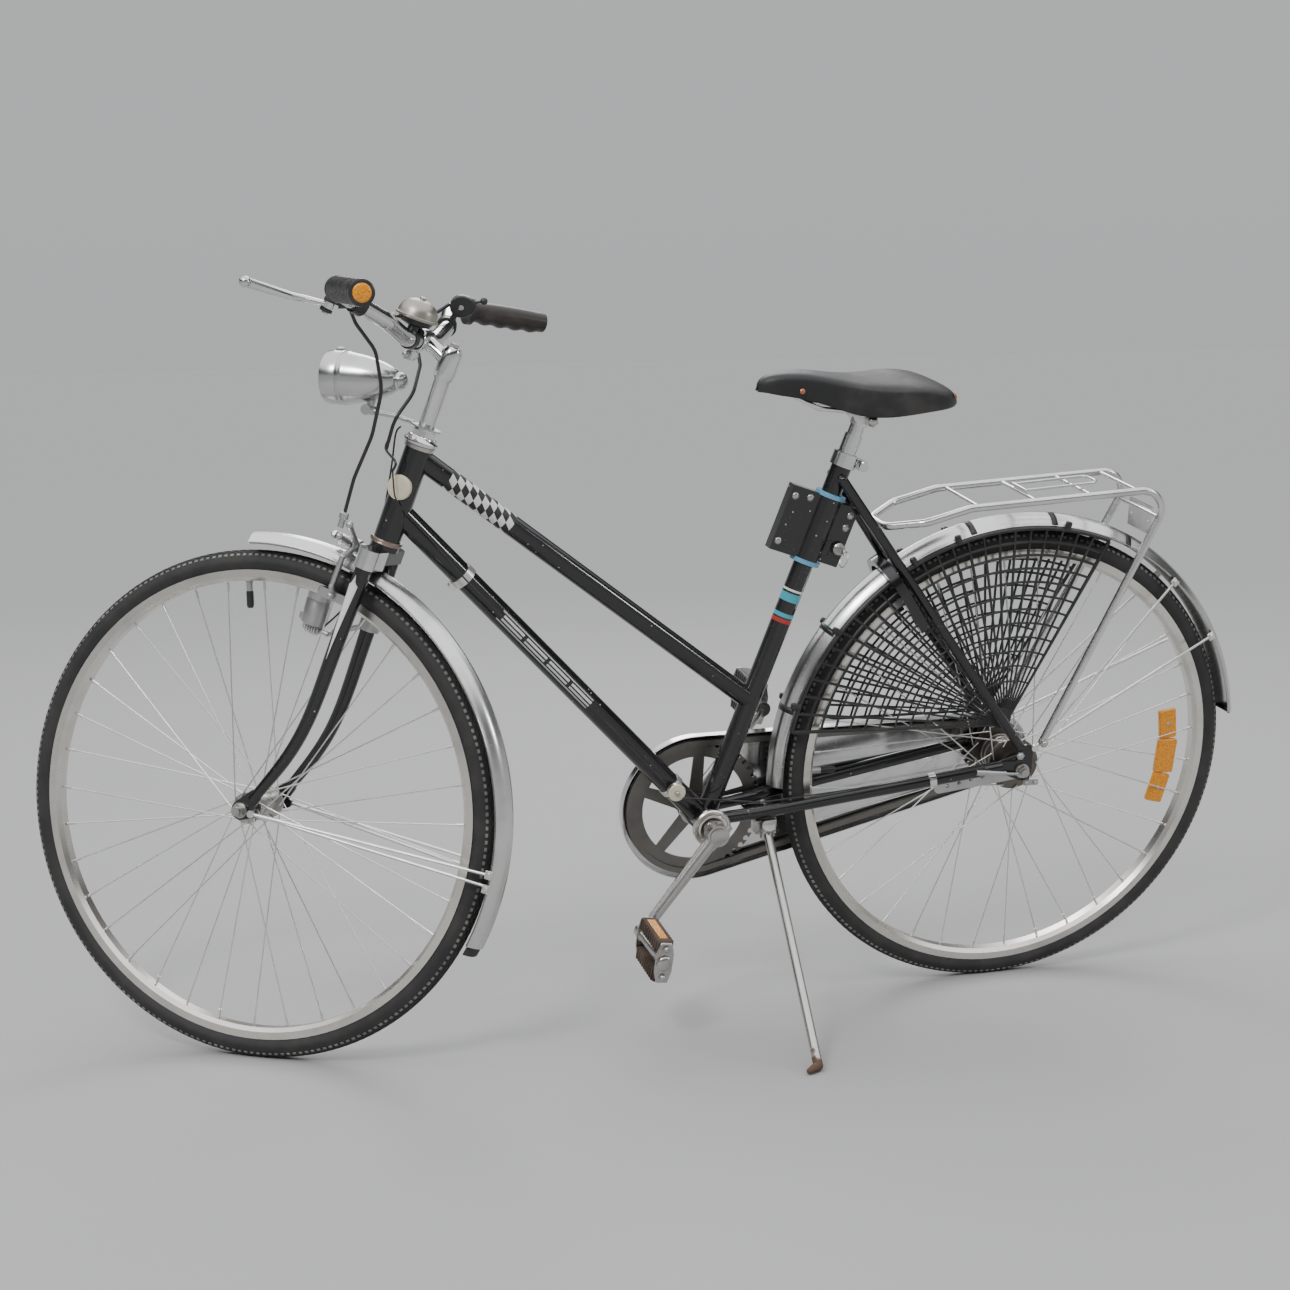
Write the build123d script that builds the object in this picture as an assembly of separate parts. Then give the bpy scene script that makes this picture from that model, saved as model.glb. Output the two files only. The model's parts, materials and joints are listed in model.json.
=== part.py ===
from build123d import *
import math
import os

# A city bicycle standing on its side stand, with the steering turned to the right.
# Everything is drawn upright in the bicycle's own frame: the rear axle is at x = 0,
# the front of the bicycle is -X, its left side is -Y, and the ground is z = 0.
# The steering parts are drawn straight ahead and turned last; then the whole
# bicycle leans on its stand and its origin moves to the middle of its footprint.

# Overall geometry
WHEELBASE = 1090.0
LEAN_DEG = 9.8
STEER_DEG = 37.5
HEAD_ANGLE = 70.8
SEAT_ANGLE = 70.6
FORK_LENGTH = 399.0
FORK_RAKE = 48.0
BB_BACK = 460.0
BB_DROP = 60.0
SEAT_TUBE_LENGTH = 550.0
HEAD_TUBE_LENGTH = 126.0

# Wheels
BEAD_SEAT_R = 311.0
TYRE_SECTION = 32.0
TYRE_WALL = 4.0
RIM_FLANGE = 6.0
RIM_WIDTH = 25.0
RIM_WALL = 2.3
RIM_DEPTH = 8.0
SPOKES = 36
SPOKE_R = 0.95
NIPPLE_R = 1.8
NIPPLE_LENGTH = 12.0
CROSS_DEG = 60.0
AXLE_R = 4.8
FRONT_HUB_WIDTH = 92.0
FRONT_FLANGE_R = 21.0
FRONT_FLANGE_Y = 31.0
FRONT_BARREL_R = 13.0
REAR_HUB_WIDTH = 76.0
REAR_FLANGE_R = 38.0
REAR_FLANGE_Y = 29.0
REAR_BARREL_R = 27.5
FLANGE_THICK = 3.0

# Frame tubes, as outer radii
TOP_TUBE_R = 14.3
DOWN_TUBE_R = 15.9
SEAT_TUBE_R = 14.3
HEAD_TUBE_R = 18.0
CHAIN_STAY_R = 9.0
SEAT_STAY_R = 7.0
TUBE_WALL = 1.5
BB_SHELL_R = 20.0
BB_SHELL_WIDTH = 70.0
TOP_TUBE_HEAD = 122.0
TOP_TUBE_SEAT = 183.0
DOWN_TUBE_HEAD = 46.0
DROPOUT_INNER_Y = 55.0
DROPOUT_THICK = 4.0

# Steering
STEERER_R = 12.7
QUILL_R = 11.0
QUILL_BOTTOM = 60.0
BLADE_TOP_R = 11.5
BLADE_TIP_R = 7.5
BLADE_TOP_Y = 38.0
BLADE_TIP_Y = 49.0
CROWN_TOP = -8.4
CROWN_BOTTOM = -27.0
BAR_R = 11.0
BAR_WALL = 2.0
STEM_REACH = 48.0
STEM_RISE = 262.0
GRIP_R = 15.0
GRIP_LENGTH = 112.0

# Drive
CRANK_LENGTH = 170.0
CRANK_DEG = 231.0
CRANK_Y = 62.0
SPINDLE_R = 8.0
CHAIN_PITCH = 12.7
RING_TEETH = 48
SPROCKET_TEETH = 20
CHAIN_LINE = 44.0
PEDAL_LENGTH = 92.0
PEDAL_WIDTH = 62.0
PEDAL_THICK = 26.0
PEDAL_SPINDLE_R = 5.0

# Mudguards, rack, guard and stand
MUDGUARD_R = 367.0
MUDGUARD_HALF_WIDTH = 22.0
MUDGUARD_DEPTH = 13.0
SHEET = 1.0
RACK_TUBE_R = 5.5
RACK_HALF_WIDTH = 60.0
RACK_BAR_R = 3.0
LIGHT_HOLE_GAP = 50.0
LIGHT_HOLE_R = 2.6
STAY_WIRE_R = 2.0
SKIRT_THICK = 1.6
STAND_R = 6.5
CABLE_R = 2.4
WIRE_R = 1.1

# Clearances
RUNNING = 0.05
GAP = 0.3

# Worked-out places
TYRE_R = BEAD_SEAT_R + TYRE_SECTION
RIM_R = BEAD_SEAT_R + RIM_FLANGE
BASE = (Align.CENTER, Align.CENTER, Align.MIN)
REAR_AXLE = Vector(0, 0, TYRE_R)
FRONT_AXLE = Vector(-WHEELBASE, 0, TYRE_R)
BB = Vector(-BB_BACK, 0, TYRE_R - BB_DROP)
HEAD_UP = Vector(math.cos(math.radians(HEAD_ANGLE)), 0, math.sin(math.radians(HEAD_ANGLE)))
HEAD_BACK = Vector(HEAD_UP.Z, 0, -HEAD_UP.X)
SEAT_UP = Vector(math.cos(math.radians(SEAT_ANGLE)), 0, math.sin(math.radians(SEAT_ANGLE)))
SEAT_BACK = Vector(SEAT_UP.Z, 0, -SEAT_UP.X)
SIDE = Vector(0, 1, 0)
HEAD_BASE = FRONT_AXLE + HEAD_UP * FORK_LENGTH + HEAD_BACK * FORK_RAKE
CUP_HEIGHT = 6.0
HEAD_TOP = HEAD_TUBE_LENGTH + 2 * CUP_HEIGHT
RING_R = CHAIN_PITCH / 2 / math.sin(math.pi / RING_TEETH)
SPROCKET_R = CHAIN_PITCH / 2 / math.sin(math.pi / SPROCKET_TEETH)

bodies = {}


def keep(body, name, *solids):
    """Store a node's solids under the body that it moves with."""
    flat = [one for shape in solids for one in shape.solids()]
    bodies.setdefault(body, {})[name] = flat


def head(back, side, up):
    """A point of the steering parts: back from, beside and up along the steering axis."""
    return HEAD_BASE + HEAD_BACK * back + SIDE * side + HEAD_UP * up


def seat(back, side, up):
    """A point beside the seat tube, measured from the bottom bracket."""
    return BB + SEAT_BACK * back + SIDE * side + SEAT_UP * up


def along(start, end, share):
    return start + (end - start) * share


def rod(start, end, radius, bore=0.0):
    """A round bar, or a tube when it has a bore, between two points."""
    axis = end - start
    place = Plane(origin=start, z_dir=axis)
    solid = place * Cylinder(radius, axis.length, align=BASE)
    if bore:
        solid -= place * Cylinder(bore, axis.length, align=BASE)
    return solid


def cone(start, end, start_r, end_r):
    axis = end - start
    return Plane(origin=start, z_dir=axis) * Cone(start_r, end_r, axis.length, align=BASE)


def ball(place, radius):
    return Pos(place.X, place.Y, place.Z) * Sphere(radius)


def bent(points, radii, radius, bore=0.0):
    """A bent bar or tube whose straight runs are joined by tangent arcs."""
    path = FilletPolyline(*points, radius=radii)
    section = Plane(origin=path @ 0, z_dir=path % 0)
    face = section * Circle(radius)
    if bore:
        face -= section * Circle(bore)
    return sweep(face, path=path)


def block(centre, x_dir, z_dir, size):
    """A box centred on a point, its length along x_dir and its height along z_dir."""
    return Plane(origin=centre, x_dir=x_dir, z_dir=z_dir) * Box(*size)


def flat_plate(points, y_low, y_high):
    """A plate with a straight-sided outline in the side view, between two heights of y."""
    plane = Plane(origin=(0, y_low, 0), x_dir=(1, 0, 0), z_dir=(0, -1, 0))
    face = plane * make_face(Polyline(*[(p.X, p.Z) for p in points], close=True))
    return extrude(face, amount=y_high - y_low, dir=(0, 1, 0))


def capsule_plate(start, end, start_r, end_r, y_low, y_high):
    """A link plate in the side view: two discs and the web between them."""
    thick = y_high - y_low
    parts = []
    for centre, radius in ((start, start_r), (end, end_r)):
        low = Vector(centre.X, y_low, centre.Z)
        parts.append(rod(low, low + SIDE * thick, radius))
    axis = Vector(end.X - start.X, 0, end.Z - start.Z)
    angle = math.asin((start_r - end_r) / axis.length)
    way = axis.normalized()
    across = Vector(-way.Z, 0, way.X)
    corners = []
    for sign in (1, -1):
        normal = across * (sign * math.cos(angle)) + way * math.sin(angle)
        pair = [Vector(start.X, 0, start.Z) + normal * start_r, Vector(end.X, 0, end.Z) + normal * end_r]
        corners += pair if sign == 1 else pair[::-1]
    return parts[0] + parts[1] + flat_plate(corners, y_low, y_high)


def ring_about_y(centre, profile):
    """Revolve a closed outline of (radius, y) points about a wheel's axle."""
    plane = Plane(origin=centre, x_dir=(1, 0, 0), z_dir=(0, 0, 1))
    face = plane * make_face(Polyline(*profile, close=True))
    return revolve(face, axis=Axis(centre, (0, 1, 0)))


# ---------------------------------------------------------------- wheels

def rim(centre):
    half = RIM_WIDTH / 2
    floor = BEAD_SEAT_R - 1.0
    inner = floor - RIM_DEPTH
    profile = [(inner, -half * 0.55), (inner + 5, -half), (RIM_R, -half), (RIM_R, -half + RIM_WALL)]
    profile += [(floor, -half + RIM_WALL)]
    profile += [(r, -y) for r, y in reversed(profile)]
    return ring_about_y(centre, profile)


def tyre(centre):
    """A C-section tyre whose beads sit between the rim's flanges."""
    plane = Plane(origin=centre, x_dir=(1, 0, 0), z_dir=(0, 0, 1))
    middle = TYRE_R - TYRE_SECTION / 2
    bead = RIM_WIDTH / 2 - RIM_WALL - GAP
    low = BEAD_SEAT_R - 1.0 + GAP
    outer = Pos(middle, 0) * Circle(TYRE_SECTION / 2)
    outer -= Pos(low - 40, 0) * Rectangle(80 + 2 * (RIM_R + GAP - low), 80)
    outer += Pos((low + RIM_R + 2) / 2, 0) * Rectangle(RIM_R + 2 - low, 2 * bead)
    inside = Pos(middle, 0) * Circle(TYRE_SECTION / 2 - TYRE_WALL)
    inside += Pos((low + middle) / 2 - 5, 0) * Rectangle(middle - low + 10, 2 * (bead - TYRE_WALL))
    return revolve(plane * (outer - inside), axis=Axis(centre, (0, 1, 0)))


def spoke_set(centre, flange_r, flange_y, phase):
    """Crossed spokes with their nipples; each one is a separate solid."""
    rim_inside = BEAD_SEAT_R - 1.0 - RIM_DEPTH
    wires = []
    for index in range(SPOKES):
        side = 1 if index % 2 else -1
        lean = 1 if (index // 2) % 2 else -1
        at_rim = math.radians(360.0 * (index + phase) / SPOKES)
        at_hub = at_rim + math.radians(CROSS_DEG) * lean
        y = side * (flange_y + lean * (FLANGE_THICK / 2 + SPOKE_R + GAP + (0.9 if lean > 0 else 0)))
        hole_r = flange_r - 4.0
        start = centre + Vector(hole_r * math.cos(at_hub), y, hole_r * math.sin(at_hub))
        end_r = rim_inside - 1.0
        end = centre + Vector(end_r * math.cos(at_rim), side * 1.5, end_r * math.sin(at_rim))
        way = (end - start).normalized()
        wires.append(rod(start, end - way * NIPPLE_LENGTH, SPOKE_R))
        wires.append(rod(end - way * NIPPLE_LENGTH, end, NIPPLE_R))
    return wires


def hub(centre, width, barrel_r, flange_r, flange_y, bore):
    shell = rod(centre - SIDE * (width / 2), centre + SIDE * (width / 2), barrel_r * 0.8)
    shell += rod(centre - SIDE * flange_y, centre + SIDE * flange_y, barrel_r)
    for side in (-1, 1):
        low = centre + SIDE * (side * flange_y - FLANGE_THICK / 2)
        shell += rod(low, low + SIDE * FLANGE_THICK, flange_r)
    return shell - rod(centre - SIDE * width, centre + SIDE * width, bore)


def toothed_disc(centre, teeth, pitch_r, y_middle, thick, bore):
    """A sprocket: a disc with one rounded valley for each roller."""
    low = Vector(centre.X, y_middle - thick / 2, centre.Z)
    disc = rod(low, low + SIDE * thick, pitch_r + 3.4)
    valley = []
    for index in range(teeth):
        turn = 2 * math.pi * (index + 0.5) / teeth
        at = low + Vector(pitch_r * math.cos(turn), -1, pitch_r * math.sin(turn))
        valley.append(rod(at, at + SIDE * (thick + 2), 4.05))
    return disc - valley - rod(low - SIDE, low + SIDE * (thick + 1), bore)


def valve(centre, degrees):
    way = Vector(math.cos(math.radians(degrees)), 0, math.sin(math.radians(degrees)))
    outer = BEAD_SEAT_R - 1.0 - RIM_DEPTH - GAP
    stem = rod(centre + way * (outer - 20), centre + way * outer, 3.0)
    return stem + rod(centre + way * (outer - 34), centre + way * (outer - 20), 4.0)


hub_bore = AXLE_R + RUNNING
keep("front_wheel", "front_tyre", tyre(FRONT_AXLE))
keep("front_wheel", "front_rim", rim(FRONT_AXLE), valve(FRONT_AXLE, 94))
keep("front_wheel", "front_spokes", *spoke_set(FRONT_AXLE, FRONT_FLANGE_R, FRONT_FLANGE_Y, 0.0))
keep("front_wheel", "front_hub", hub(FRONT_AXLE, FRONT_HUB_WIDTH, FRONT_BARREL_R, FRONT_FLANGE_R,
                                     FRONT_FLANGE_Y, hub_bore))
keep("rear_wheel", "rear_tyre", tyre(REAR_AXLE))
keep("rear_wheel", "rear_rim", rim(REAR_AXLE), valve(REAR_AXLE, 180))
keep("rear_wheel", "rear_spokes", *spoke_set(REAR_AXLE, REAR_FLANGE_R, REAR_FLANGE_Y, 0.5))
sprocket_carrier = rod(REAR_AXLE + SIDE * (REAR_HUB_WIDTH / 2), REAR_AXLE + SIDE * (CHAIN_LINE + 2), 20)
sprocket_carrier -= rod(REAR_AXLE, REAR_AXLE + SIDE * 60, hub_bore)
rear_hub = hub(REAR_AXLE, REAR_HUB_WIDTH, REAR_BARREL_R, REAR_FLANGE_R, REAR_FLANGE_Y, hub_bore)
rear_hub += sprocket_carrier + toothed_disc(REAR_AXLE, SPROCKET_TEETH, SPROCKET_R, CHAIN_LINE, 2.2, 19)
keep("rear_wheel", "rear_hub", rear_hub)

# ---------------------------------------------------------------- frame

head_tube = rod(head(0, 0, CUP_HEIGHT), head(0, 0, HEAD_TOP - CUP_HEIGHT), HEAD_TUBE_R, STEERER_R + 1.5)
seat_top = seat(0, 0, SEAT_TUBE_LENGTH)
bb_side = SIDE * (BB_SHELL_WIDTH / 2)
bb_solid = rod(BB - bb_side, BB + bb_side, BB_SHELL_R)
head_solid = rod(head(0, 0, 0), head(0, 0, HEAD_TOP), HEAD_TUBE_R)
seat_solid = rod(BB, seat_top, SEAT_TUBE_R)
post_r = SEAT_TUBE_R - TUBE_WALL - RUNNING
seat_tube = rod(BB, seat_top, SEAT_TUBE_R, SEAT_TUBE_R - TUBE_WALL) - bb_solid

top_start, top_end = head(0, 0, TOP_TUBE_HEAD), seat(0, 0, TOP_TUBE_SEAT)
top_tube = rod(top_start, top_end, TOP_TUBE_R, TOP_TUBE_R - TUBE_WALL) - head_solid - seat_solid
down_start = head(0, 0, DOWN_TUBE_HEAD)
down_tube = rod(down_start, BB, DOWN_TUBE_R, DOWN_TUBE_R - TUBE_WALL) - head_solid - bb_solid - seat_solid
bb_shell = bb_solid - rod(BB - bb_side, BB + bb_side, BB_SHELL_R - 3.0)
keep("frame", "head_tube", head_tube)
keep("frame", "seat_tube", seat_tube)
keep("frame", "top_tube", max(top_tube.solids(), key=lambda part: part.volume))
keep("frame", "down_tube", max(down_tube.solids(), key=lambda part: part.volume))
keep("frame", "bottom_bracket_shell", bb_shell)

stay_tip = Vector(-32, 0, 7)
chain_stays = []
seat_stays = []
for side in (-1, 1):
    low_y = side * (DROPOUT_INNER_Y + DROPOUT_THICK / 2)
    start = BB + Vector(12, side * 24, 8)
    middle = BB + Vector(70, side * 30, 14)
    end = REAR_AXLE + stay_tip + SIDE * low_y
    stay = bent([start, middle, end], [120], CHAIN_STAY_R) - bb_solid
    stay = max(stay.solids(), key=lambda part: part.volume)
    inner = side * DROPOUT_INNER_Y - (DROPOUT_THICK if side < 0 else 0)
    eye = REAR_AXLE + Vector(6, 0, 30)
    plate = capsule_plate(REAR_AXLE, REAR_AXLE + stay_tip, 15, 8, inner, inner + DROPOUT_THICK)
    plate += capsule_plate(REAR_AXLE, eye, 15, 9, inner, inner + DROPOUT_THICK)
    through = SIDE * (side * (DROPOUT_INNER_Y + DROPOUT_THICK / 2))
    plate -= rod(REAR_AXLE + through - SIDE * 9, REAR_AXLE + through + SIDE * 9, AXLE_R + GAP)
    chain_stays.append(stay + plate)
    top = seat(0, side * 21.0, SEAT_TUBE_LENGTH - 32)
    bottom = eye + Vector(-10, side * (DROPOUT_INNER_Y + DROPOUT_THICK / 2), 4)
    stay = rod(top, bottom, SEAT_STAY_R) + ball(top, SEAT_STAY_R)
    stay = stay - plate - seat_solid
    seat_stays.append(max(stay.solids(), key=lambda part: part.volume))
keep("frame", "chain_stays", *chain_stays)
keep("frame", "seat_stays", *seat_stays)

cup_bore = STEERER_R + RUNNING
head_cups = rod(head(0, 0, 0), head(0, 0, CUP_HEIGHT), 21, cup_bore)
head_cups_top = rod(head(0, 0, HEAD_TOP - CUP_HEIGHT), head(0, 0, HEAD_TOP), 20, cup_bore)
bb_cups = []
for side in (-1, 1):
    face = BB + SIDE * (side * BB_SHELL_WIDTH / 2)
    out = SIDE * side
    wide = 27 if side < 0 else 24
    lock = rod(face, face + out * 4, wide, SPINDLE_R + RUNNING)
    bb_cups.append(lock + rod(face + out * 4, face + out * 7.4, 19, SPINDLE_R + RUNNING))
keep("frame", "bearing_cups", head_cups, head_cups_top, *bb_cups)

collar_low, collar_high = seat(0, 0, SEAT_TUBE_LENGTH - 16), seat(0, 0, SEAT_TUBE_LENGTH + 3)
collar = rod(collar_low, collar_high, SEAT_TUBE_R + 4)
for side in (-1, 1):
    collar += block(seat(23, side * 5, SEAT_TUBE_LENGTH - 6.5), SEAT_BACK, SEAT_UP, (18, 5, 15))
collar -= rod(collar_low - SEAT_UP, collar_high + SEAT_UP, SEAT_TUBE_R + 0.05)
collar -= block(seat(20, 0, SEAT_TUBE_LENGTH - 6.5), SEAT_BACK, SEAT_UP, (26, 4, 30))
collar += rod(seat(25, -14, SEAT_TUBE_LENGTH - 6.5), seat(25, 13, SEAT_TUBE_LENGTH - 6.5), 3.5)
collar += rod(seat(25, -16, SEAT_TUBE_LENGTH - 6.5), seat(25, -7.5, SEAT_TUBE_LENGTH - 6.5), 6.5)
keep("frame", "seat_clamp", collar)

# ---------------------------------------------------------------- steering parts

steerer = rod(head(0, 0, CROWN_BOTTOM + 4), head(0, 0, HEAD_TOP + 12), STEERER_R, QUILL_R + RUNNING)
crown = block(head(0, 0, (CROWN_TOP + CROWN_BOTTOM) / 2), HEAD_BACK, HEAD_UP,
              (25, 2 * BLADE_TOP_Y + 8, CROWN_TOP - CROWN_BOTTOM))
crown += rod(head(0, 0, CROWN_TOP), head(0, 0, -GAP), 19)
crown -= rod(head(0, 0, CROWN_BOTTOM + 4), head(0, 0, HEAD_TOP), STEERER_R - 0.01)
fork = crown + steerer
blade_bend = -235.0
for side in (-1, 1):
    stations = []
    for step in range(8):
        share = step / 7
        up = CROWN_TOP + (-FORK_LENGTH + 20 - CROWN_TOP) * share
        drop = max(0.0, (blade_bend - up) / (FORK_LENGTH + blade_bend))
        back = -(FORK_RAKE - 3) * drop ** 1.6
        y = side * (BLADE_TOP_Y + (BLADE_TIP_Y - BLADE_TOP_Y) * share)
        radius = BLADE_TOP_R + (BLADE_TIP_R - BLADE_TOP_R) * share
        slope = -(FORK_RAKE - 3) * 1.6 * drop ** 0.6 / (FORK_LENGTH + blade_bend)
        way = HEAD_UP - HEAD_BACK * slope if drop > 0 else HEAD_UP
        stations.append(Plane(origin=head(back, y, up), x_dir=SIDE, z_dir=way) * Circle(radius))
    blade = loft(stations)
    inner = side * BLADE_TIP_Y - 2.0
    tip = head(-FORK_RAKE + 13, 0, -FORK_LENGTH + 26)
    plate = capsule_plate(FRONT_AXLE, tip, 13, 9, inner, inner + 4)
    plate += capsule_plate(FRONT_AXLE, FRONT_AXLE + Vector(18, 0, -3), 13, 6, inner, inner + 4)
    fork += blade + plate
fork -= rod(FRONT_AXLE - SIDE * 80, FRONT_AXLE + SIDE * 80, AXLE_R + 0.05)
keep("steering", "fork", max(fork.solids(), key=lambda part: part.volume))

cover = block(head(0, 0, (CROWN_TOP + CROWN_BOTTOM) / 2 - 3), HEAD_BACK, HEAD_UP, (29, 104, 26))
cover = fillet(cover.edges().filter_by(Axis(HEAD_BASE, HEAD_UP)), 13)
opening = block(head(0, 0, (CROWN_TOP + CROWN_BOTTOM) / 2 - 6), HEAD_BACK, HEAD_UP, (26, 101, 26))
opening = fillet(opening.edges().filter_by(Axis(HEAD_BASE, HEAD_UP)), 11.5)
cover -= opening
cover -= rod(head(0, 0, -40), head(0, 0, 5), 19.3)
cover -= fork
keep("steering", "crown_cover", max(cover.solids(), key=lambda part: part.volume))

nut = rod(head(0, 0, HEAD_TOP + GAP), head(0, 0, HEAD_TOP + 6), 19)
nut += Plane(origin=head(0, 0, HEAD_TOP + 6), x_dir=HEAD_BACK, z_dir=HEAD_UP) * extrude(
    RegularPolygon(17, 6), 12)
nut += rod(head(0, 0, HEAD_TOP + 18), head(0, 0, HEAD_TOP + 21), 15)
nut -= rod(head(0, 0, 0), head(0, 0, HEAD_TOP + 12.1), STEERER_R + 0.05)
nut -= rod(head(0, 0, 0), head(0, 0, HEAD_TOP + 30), QUILL_R + 0.1)
keep("steering", "headset_locknut", nut)

bar_centre = head(-STEM_REACH, 0, STEM_RISE)
stem = rod(head(0, 0, QUILL_BOTTOM), head(0, 0, STEM_RISE - 8), QUILL_R)
stem += rod(head(0, 0, STEM_RISE - 26), head(0, 0, STEM_RISE + 8), 14)
stem += rod(head(0, 0, STEM_RISE), bar_centre, 12)
stem += rod(bar_centre - SIDE * 19, bar_centre + SIDE * 19, 17)
stem += rod(head(-STEM_REACH - 6, -9, STEM_RISE - 20), head(-STEM_REACH - 6, 9, STEM_RISE - 20), 7)
stem -= rod(bar_centre - SIDE * 30, bar_centre + SIDE * 30, BAR_R + 0.05)
keep("steering", "stem", stem)

BAR_TIP = (-12, 285, 318)
BAR_BEND = (-101, 178, 299)
BAR_RISE = (-60, 95, 279)
BAR_FLAT = (-STEM_REACH, 42, STEM_RISE)
half_bar = [BAR_TIP, BAR_BEND, BAR_RISE, BAR_FLAT]
bar_points = [head(a, -y, h) for a, y, h in half_bar] + [head(a, y, h) for a, y, h in half_bar[::-1]]
handlebar = bent(bar_points, [38, 60, 45, 45, 60, 38], BAR_R, BAR_R - BAR_WALL)
keep("steering", "handlebar", handlebar)

grips = []
for side in (-1, 1):
    tip = head(BAR_TIP[0], side * BAR_TIP[1], BAR_TIP[2])
    elbow = head(BAR_BEND[0], side * BAR_BEND[1], BAR_BEND[2])
    way = (elbow - tip).normalized()
    sleeve = rod(tip - way * 3, tip + way * GRIP_LENGTH, GRIP_R)
    if side > 0:
        sleeve += rod(tip + way * (GRIP_LENGTH - 5), tip + way * GRIP_LENGTH, GRIP_R + 5)
    sleeve -= rod(tip, tip + way * (GRIP_LENGTH + 1), BAR_R + 0.05)
    grips.append(sleeve)
keep("steering", "grips", *grips)

# Brake lever bracket on the left, gear trigger on the right, and the bell's clamp
def bar_point(side, share):
    """A point on the bar's run between its rise and its bend, and the run's direction."""
    low = head(BAR_RISE[0], side * BAR_RISE[1], BAR_RISE[2])
    high = head(BAR_BEND[0], side * BAR_BEND[1], BAR_BEND[2])
    return along(low, high, share), (high - low).normalized()


band_at, band_way = bar_point(-1, 0.52)
lever_pivot = head(-112, -152, 276)
lever_axis = (HEAD_UP + HEAD_BACK * 0.1).normalized()
bracket = rod(band_at - band_way * 7, band_at + band_way * 7, BAR_R + 3)
bracket += rod(band_at, lever_pivot, 5.5)
bracket += rod(lever_pivot - lever_axis * 9, lever_pivot + lever_axis * 9, 8)
bracket -= rod(lever_pivot - lever_axis * 5.2, lever_pivot + lever_axis * 4.3, 13)
bracket += rod(lever_pivot - lever_axis * 8, lever_pivot + lever_axis * 6, 3.0)
bracket -= rod(band_at - band_way * 20, band_at + band_way * 20, BAR_R + 0.05)
trigger_at, trigger_way = bar_point(1, 0.12)
trigger_up = (HEAD_UP * 0.9 + HEAD_BACK * 0.3).normalized()
trigger_low, trigger_high = trigger_at + trigger_up * 12, trigger_at + trigger_up * 26
trigger = rod(trigger_at - trigger_way * 6, trigger_at + trigger_way * 6, BAR_R + 2.5)
trigger += rod(trigger_low, trigger_high, 4)
trigger_axis = trigger_way
trigger_pivot = trigger_high + trigger_up * 8
trigger += rod(trigger_pivot - trigger_axis * 4, trigger_pivot + trigger_axis * 4, 14)
trigger += rod(trigger_pivot + trigger_axis * 4, trigger_pivot + trigger_axis * 9, 3)
trigger -= rod(trigger_at - trigger_way * 20, trigger_at + trigger_way * 20, BAR_R + 0.05)
bell_at = head(-STEM_REACH - 1, -31, STEM_RISE)
bell_clamp = rod(bell_at - SIDE * 5, bell_at + SIDE * 5, BAR_R + 2)
bell_clamp += rod(bell_at + HEAD_UP * 10, bell_at + HEAD_UP * 17, 7)
bell_clamp -= rod(bell_at - SIDE * 9, bell_at + SIDE * 9, BAR_R + 0.05)
keep("steering", "control_clamps", bracket, trigger, bell_clamp)

bell_base = bell_at + HEAD_UP * 17
bell = cone(bell_base, bell_base + HEAD_UP * 12, 9, 24)
dome = Plane(origin=bell_base + HEAD_UP * 12, z_dir=HEAD_UP) * Cylinder(28, 3, align=BASE)
crown_ball = ball(bell_base + HEAD_UP * 10, 29) & rod(bell_base + HEAD_UP * 15, bell_base + HEAD_UP * 45, 28)
bell += dome + crown_ball
bell_pin = bell_base + HEAD_BACK * -15 + HEAD_UP * 6
bell -= rod(bell_pin - SIDE * 40, bell_pin - SIDE * 10, 6)
keep("steering", "bell", max(bell.solids(), key=lambda part: part.volume))
bell_lever_axis = HEAD_UP
bell_lever_pivot = bell_pin - SIDE * 14
striker = rod(bell_lever_pivot - HEAD_UP * 2, bell_lever_pivot + HEAD_UP * 2, 3.5)
striker += rod(bell_lever_pivot, bell_lever_pivot - SIDE * 22, 1.8) + ball(bell_lever_pivot - SIDE * 24, 4)
keep("bell_lever", "bell_lever", striker)

lever_tip = head(-186, -234, 272)
lever_mid = head(-144, -186, 272)
lever = rod(lever_pivot - lever_axis * 4, lever_pivot + lever_axis * 4, 7)
lever += bent([lever_pivot, lever_mid, lever_tip], [40], 3.9) + ball(lever_tip, 7.5)
lever -= rod(lever_pivot - lever_axis * 20, lever_pivot + lever_axis * 20, 3.0 + RUNNING)
keep("brake_lever", "brake_lever", lever)

shift = rod(trigger_pivot + trigger_axis * 4.5, trigger_pivot + trigger_axis * 8, 9)
trigger_back = trigger_up.cross(trigger_axis).normalized()
trigger_back = trigger_back if trigger_back.dot(HEAD_BACK) > 0 else trigger_back * -1
trigger_rise = trigger_axis.cross(trigger_back)
trigger_rise = trigger_rise if trigger_rise.dot(HEAD_UP) > 0 else trigger_rise * -1
shift_tip = trigger_pivot + trigger_axis * 8 + (trigger_rise + trigger_back) * 21
shift += rod(trigger_pivot + trigger_axis * 6.4, shift_tip, 1.8) + ball(shift_tip, 5)
shift -= rod(trigger_pivot, trigger_pivot + trigger_axis * 20, 3.0 + RUNNING)
keep("shift_lever", "shift_lever", shift)

# Front brake: two arms on one bolt in front of the crown
bolt_up = -19.0
arm_planes = {"left": -36.0, "right": -46.0}
pad_up = RIM_R - 6 - FORK_LENGTH
arm_ends = {"left": (-46, 12), "right": (-42, -8)}


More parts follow.
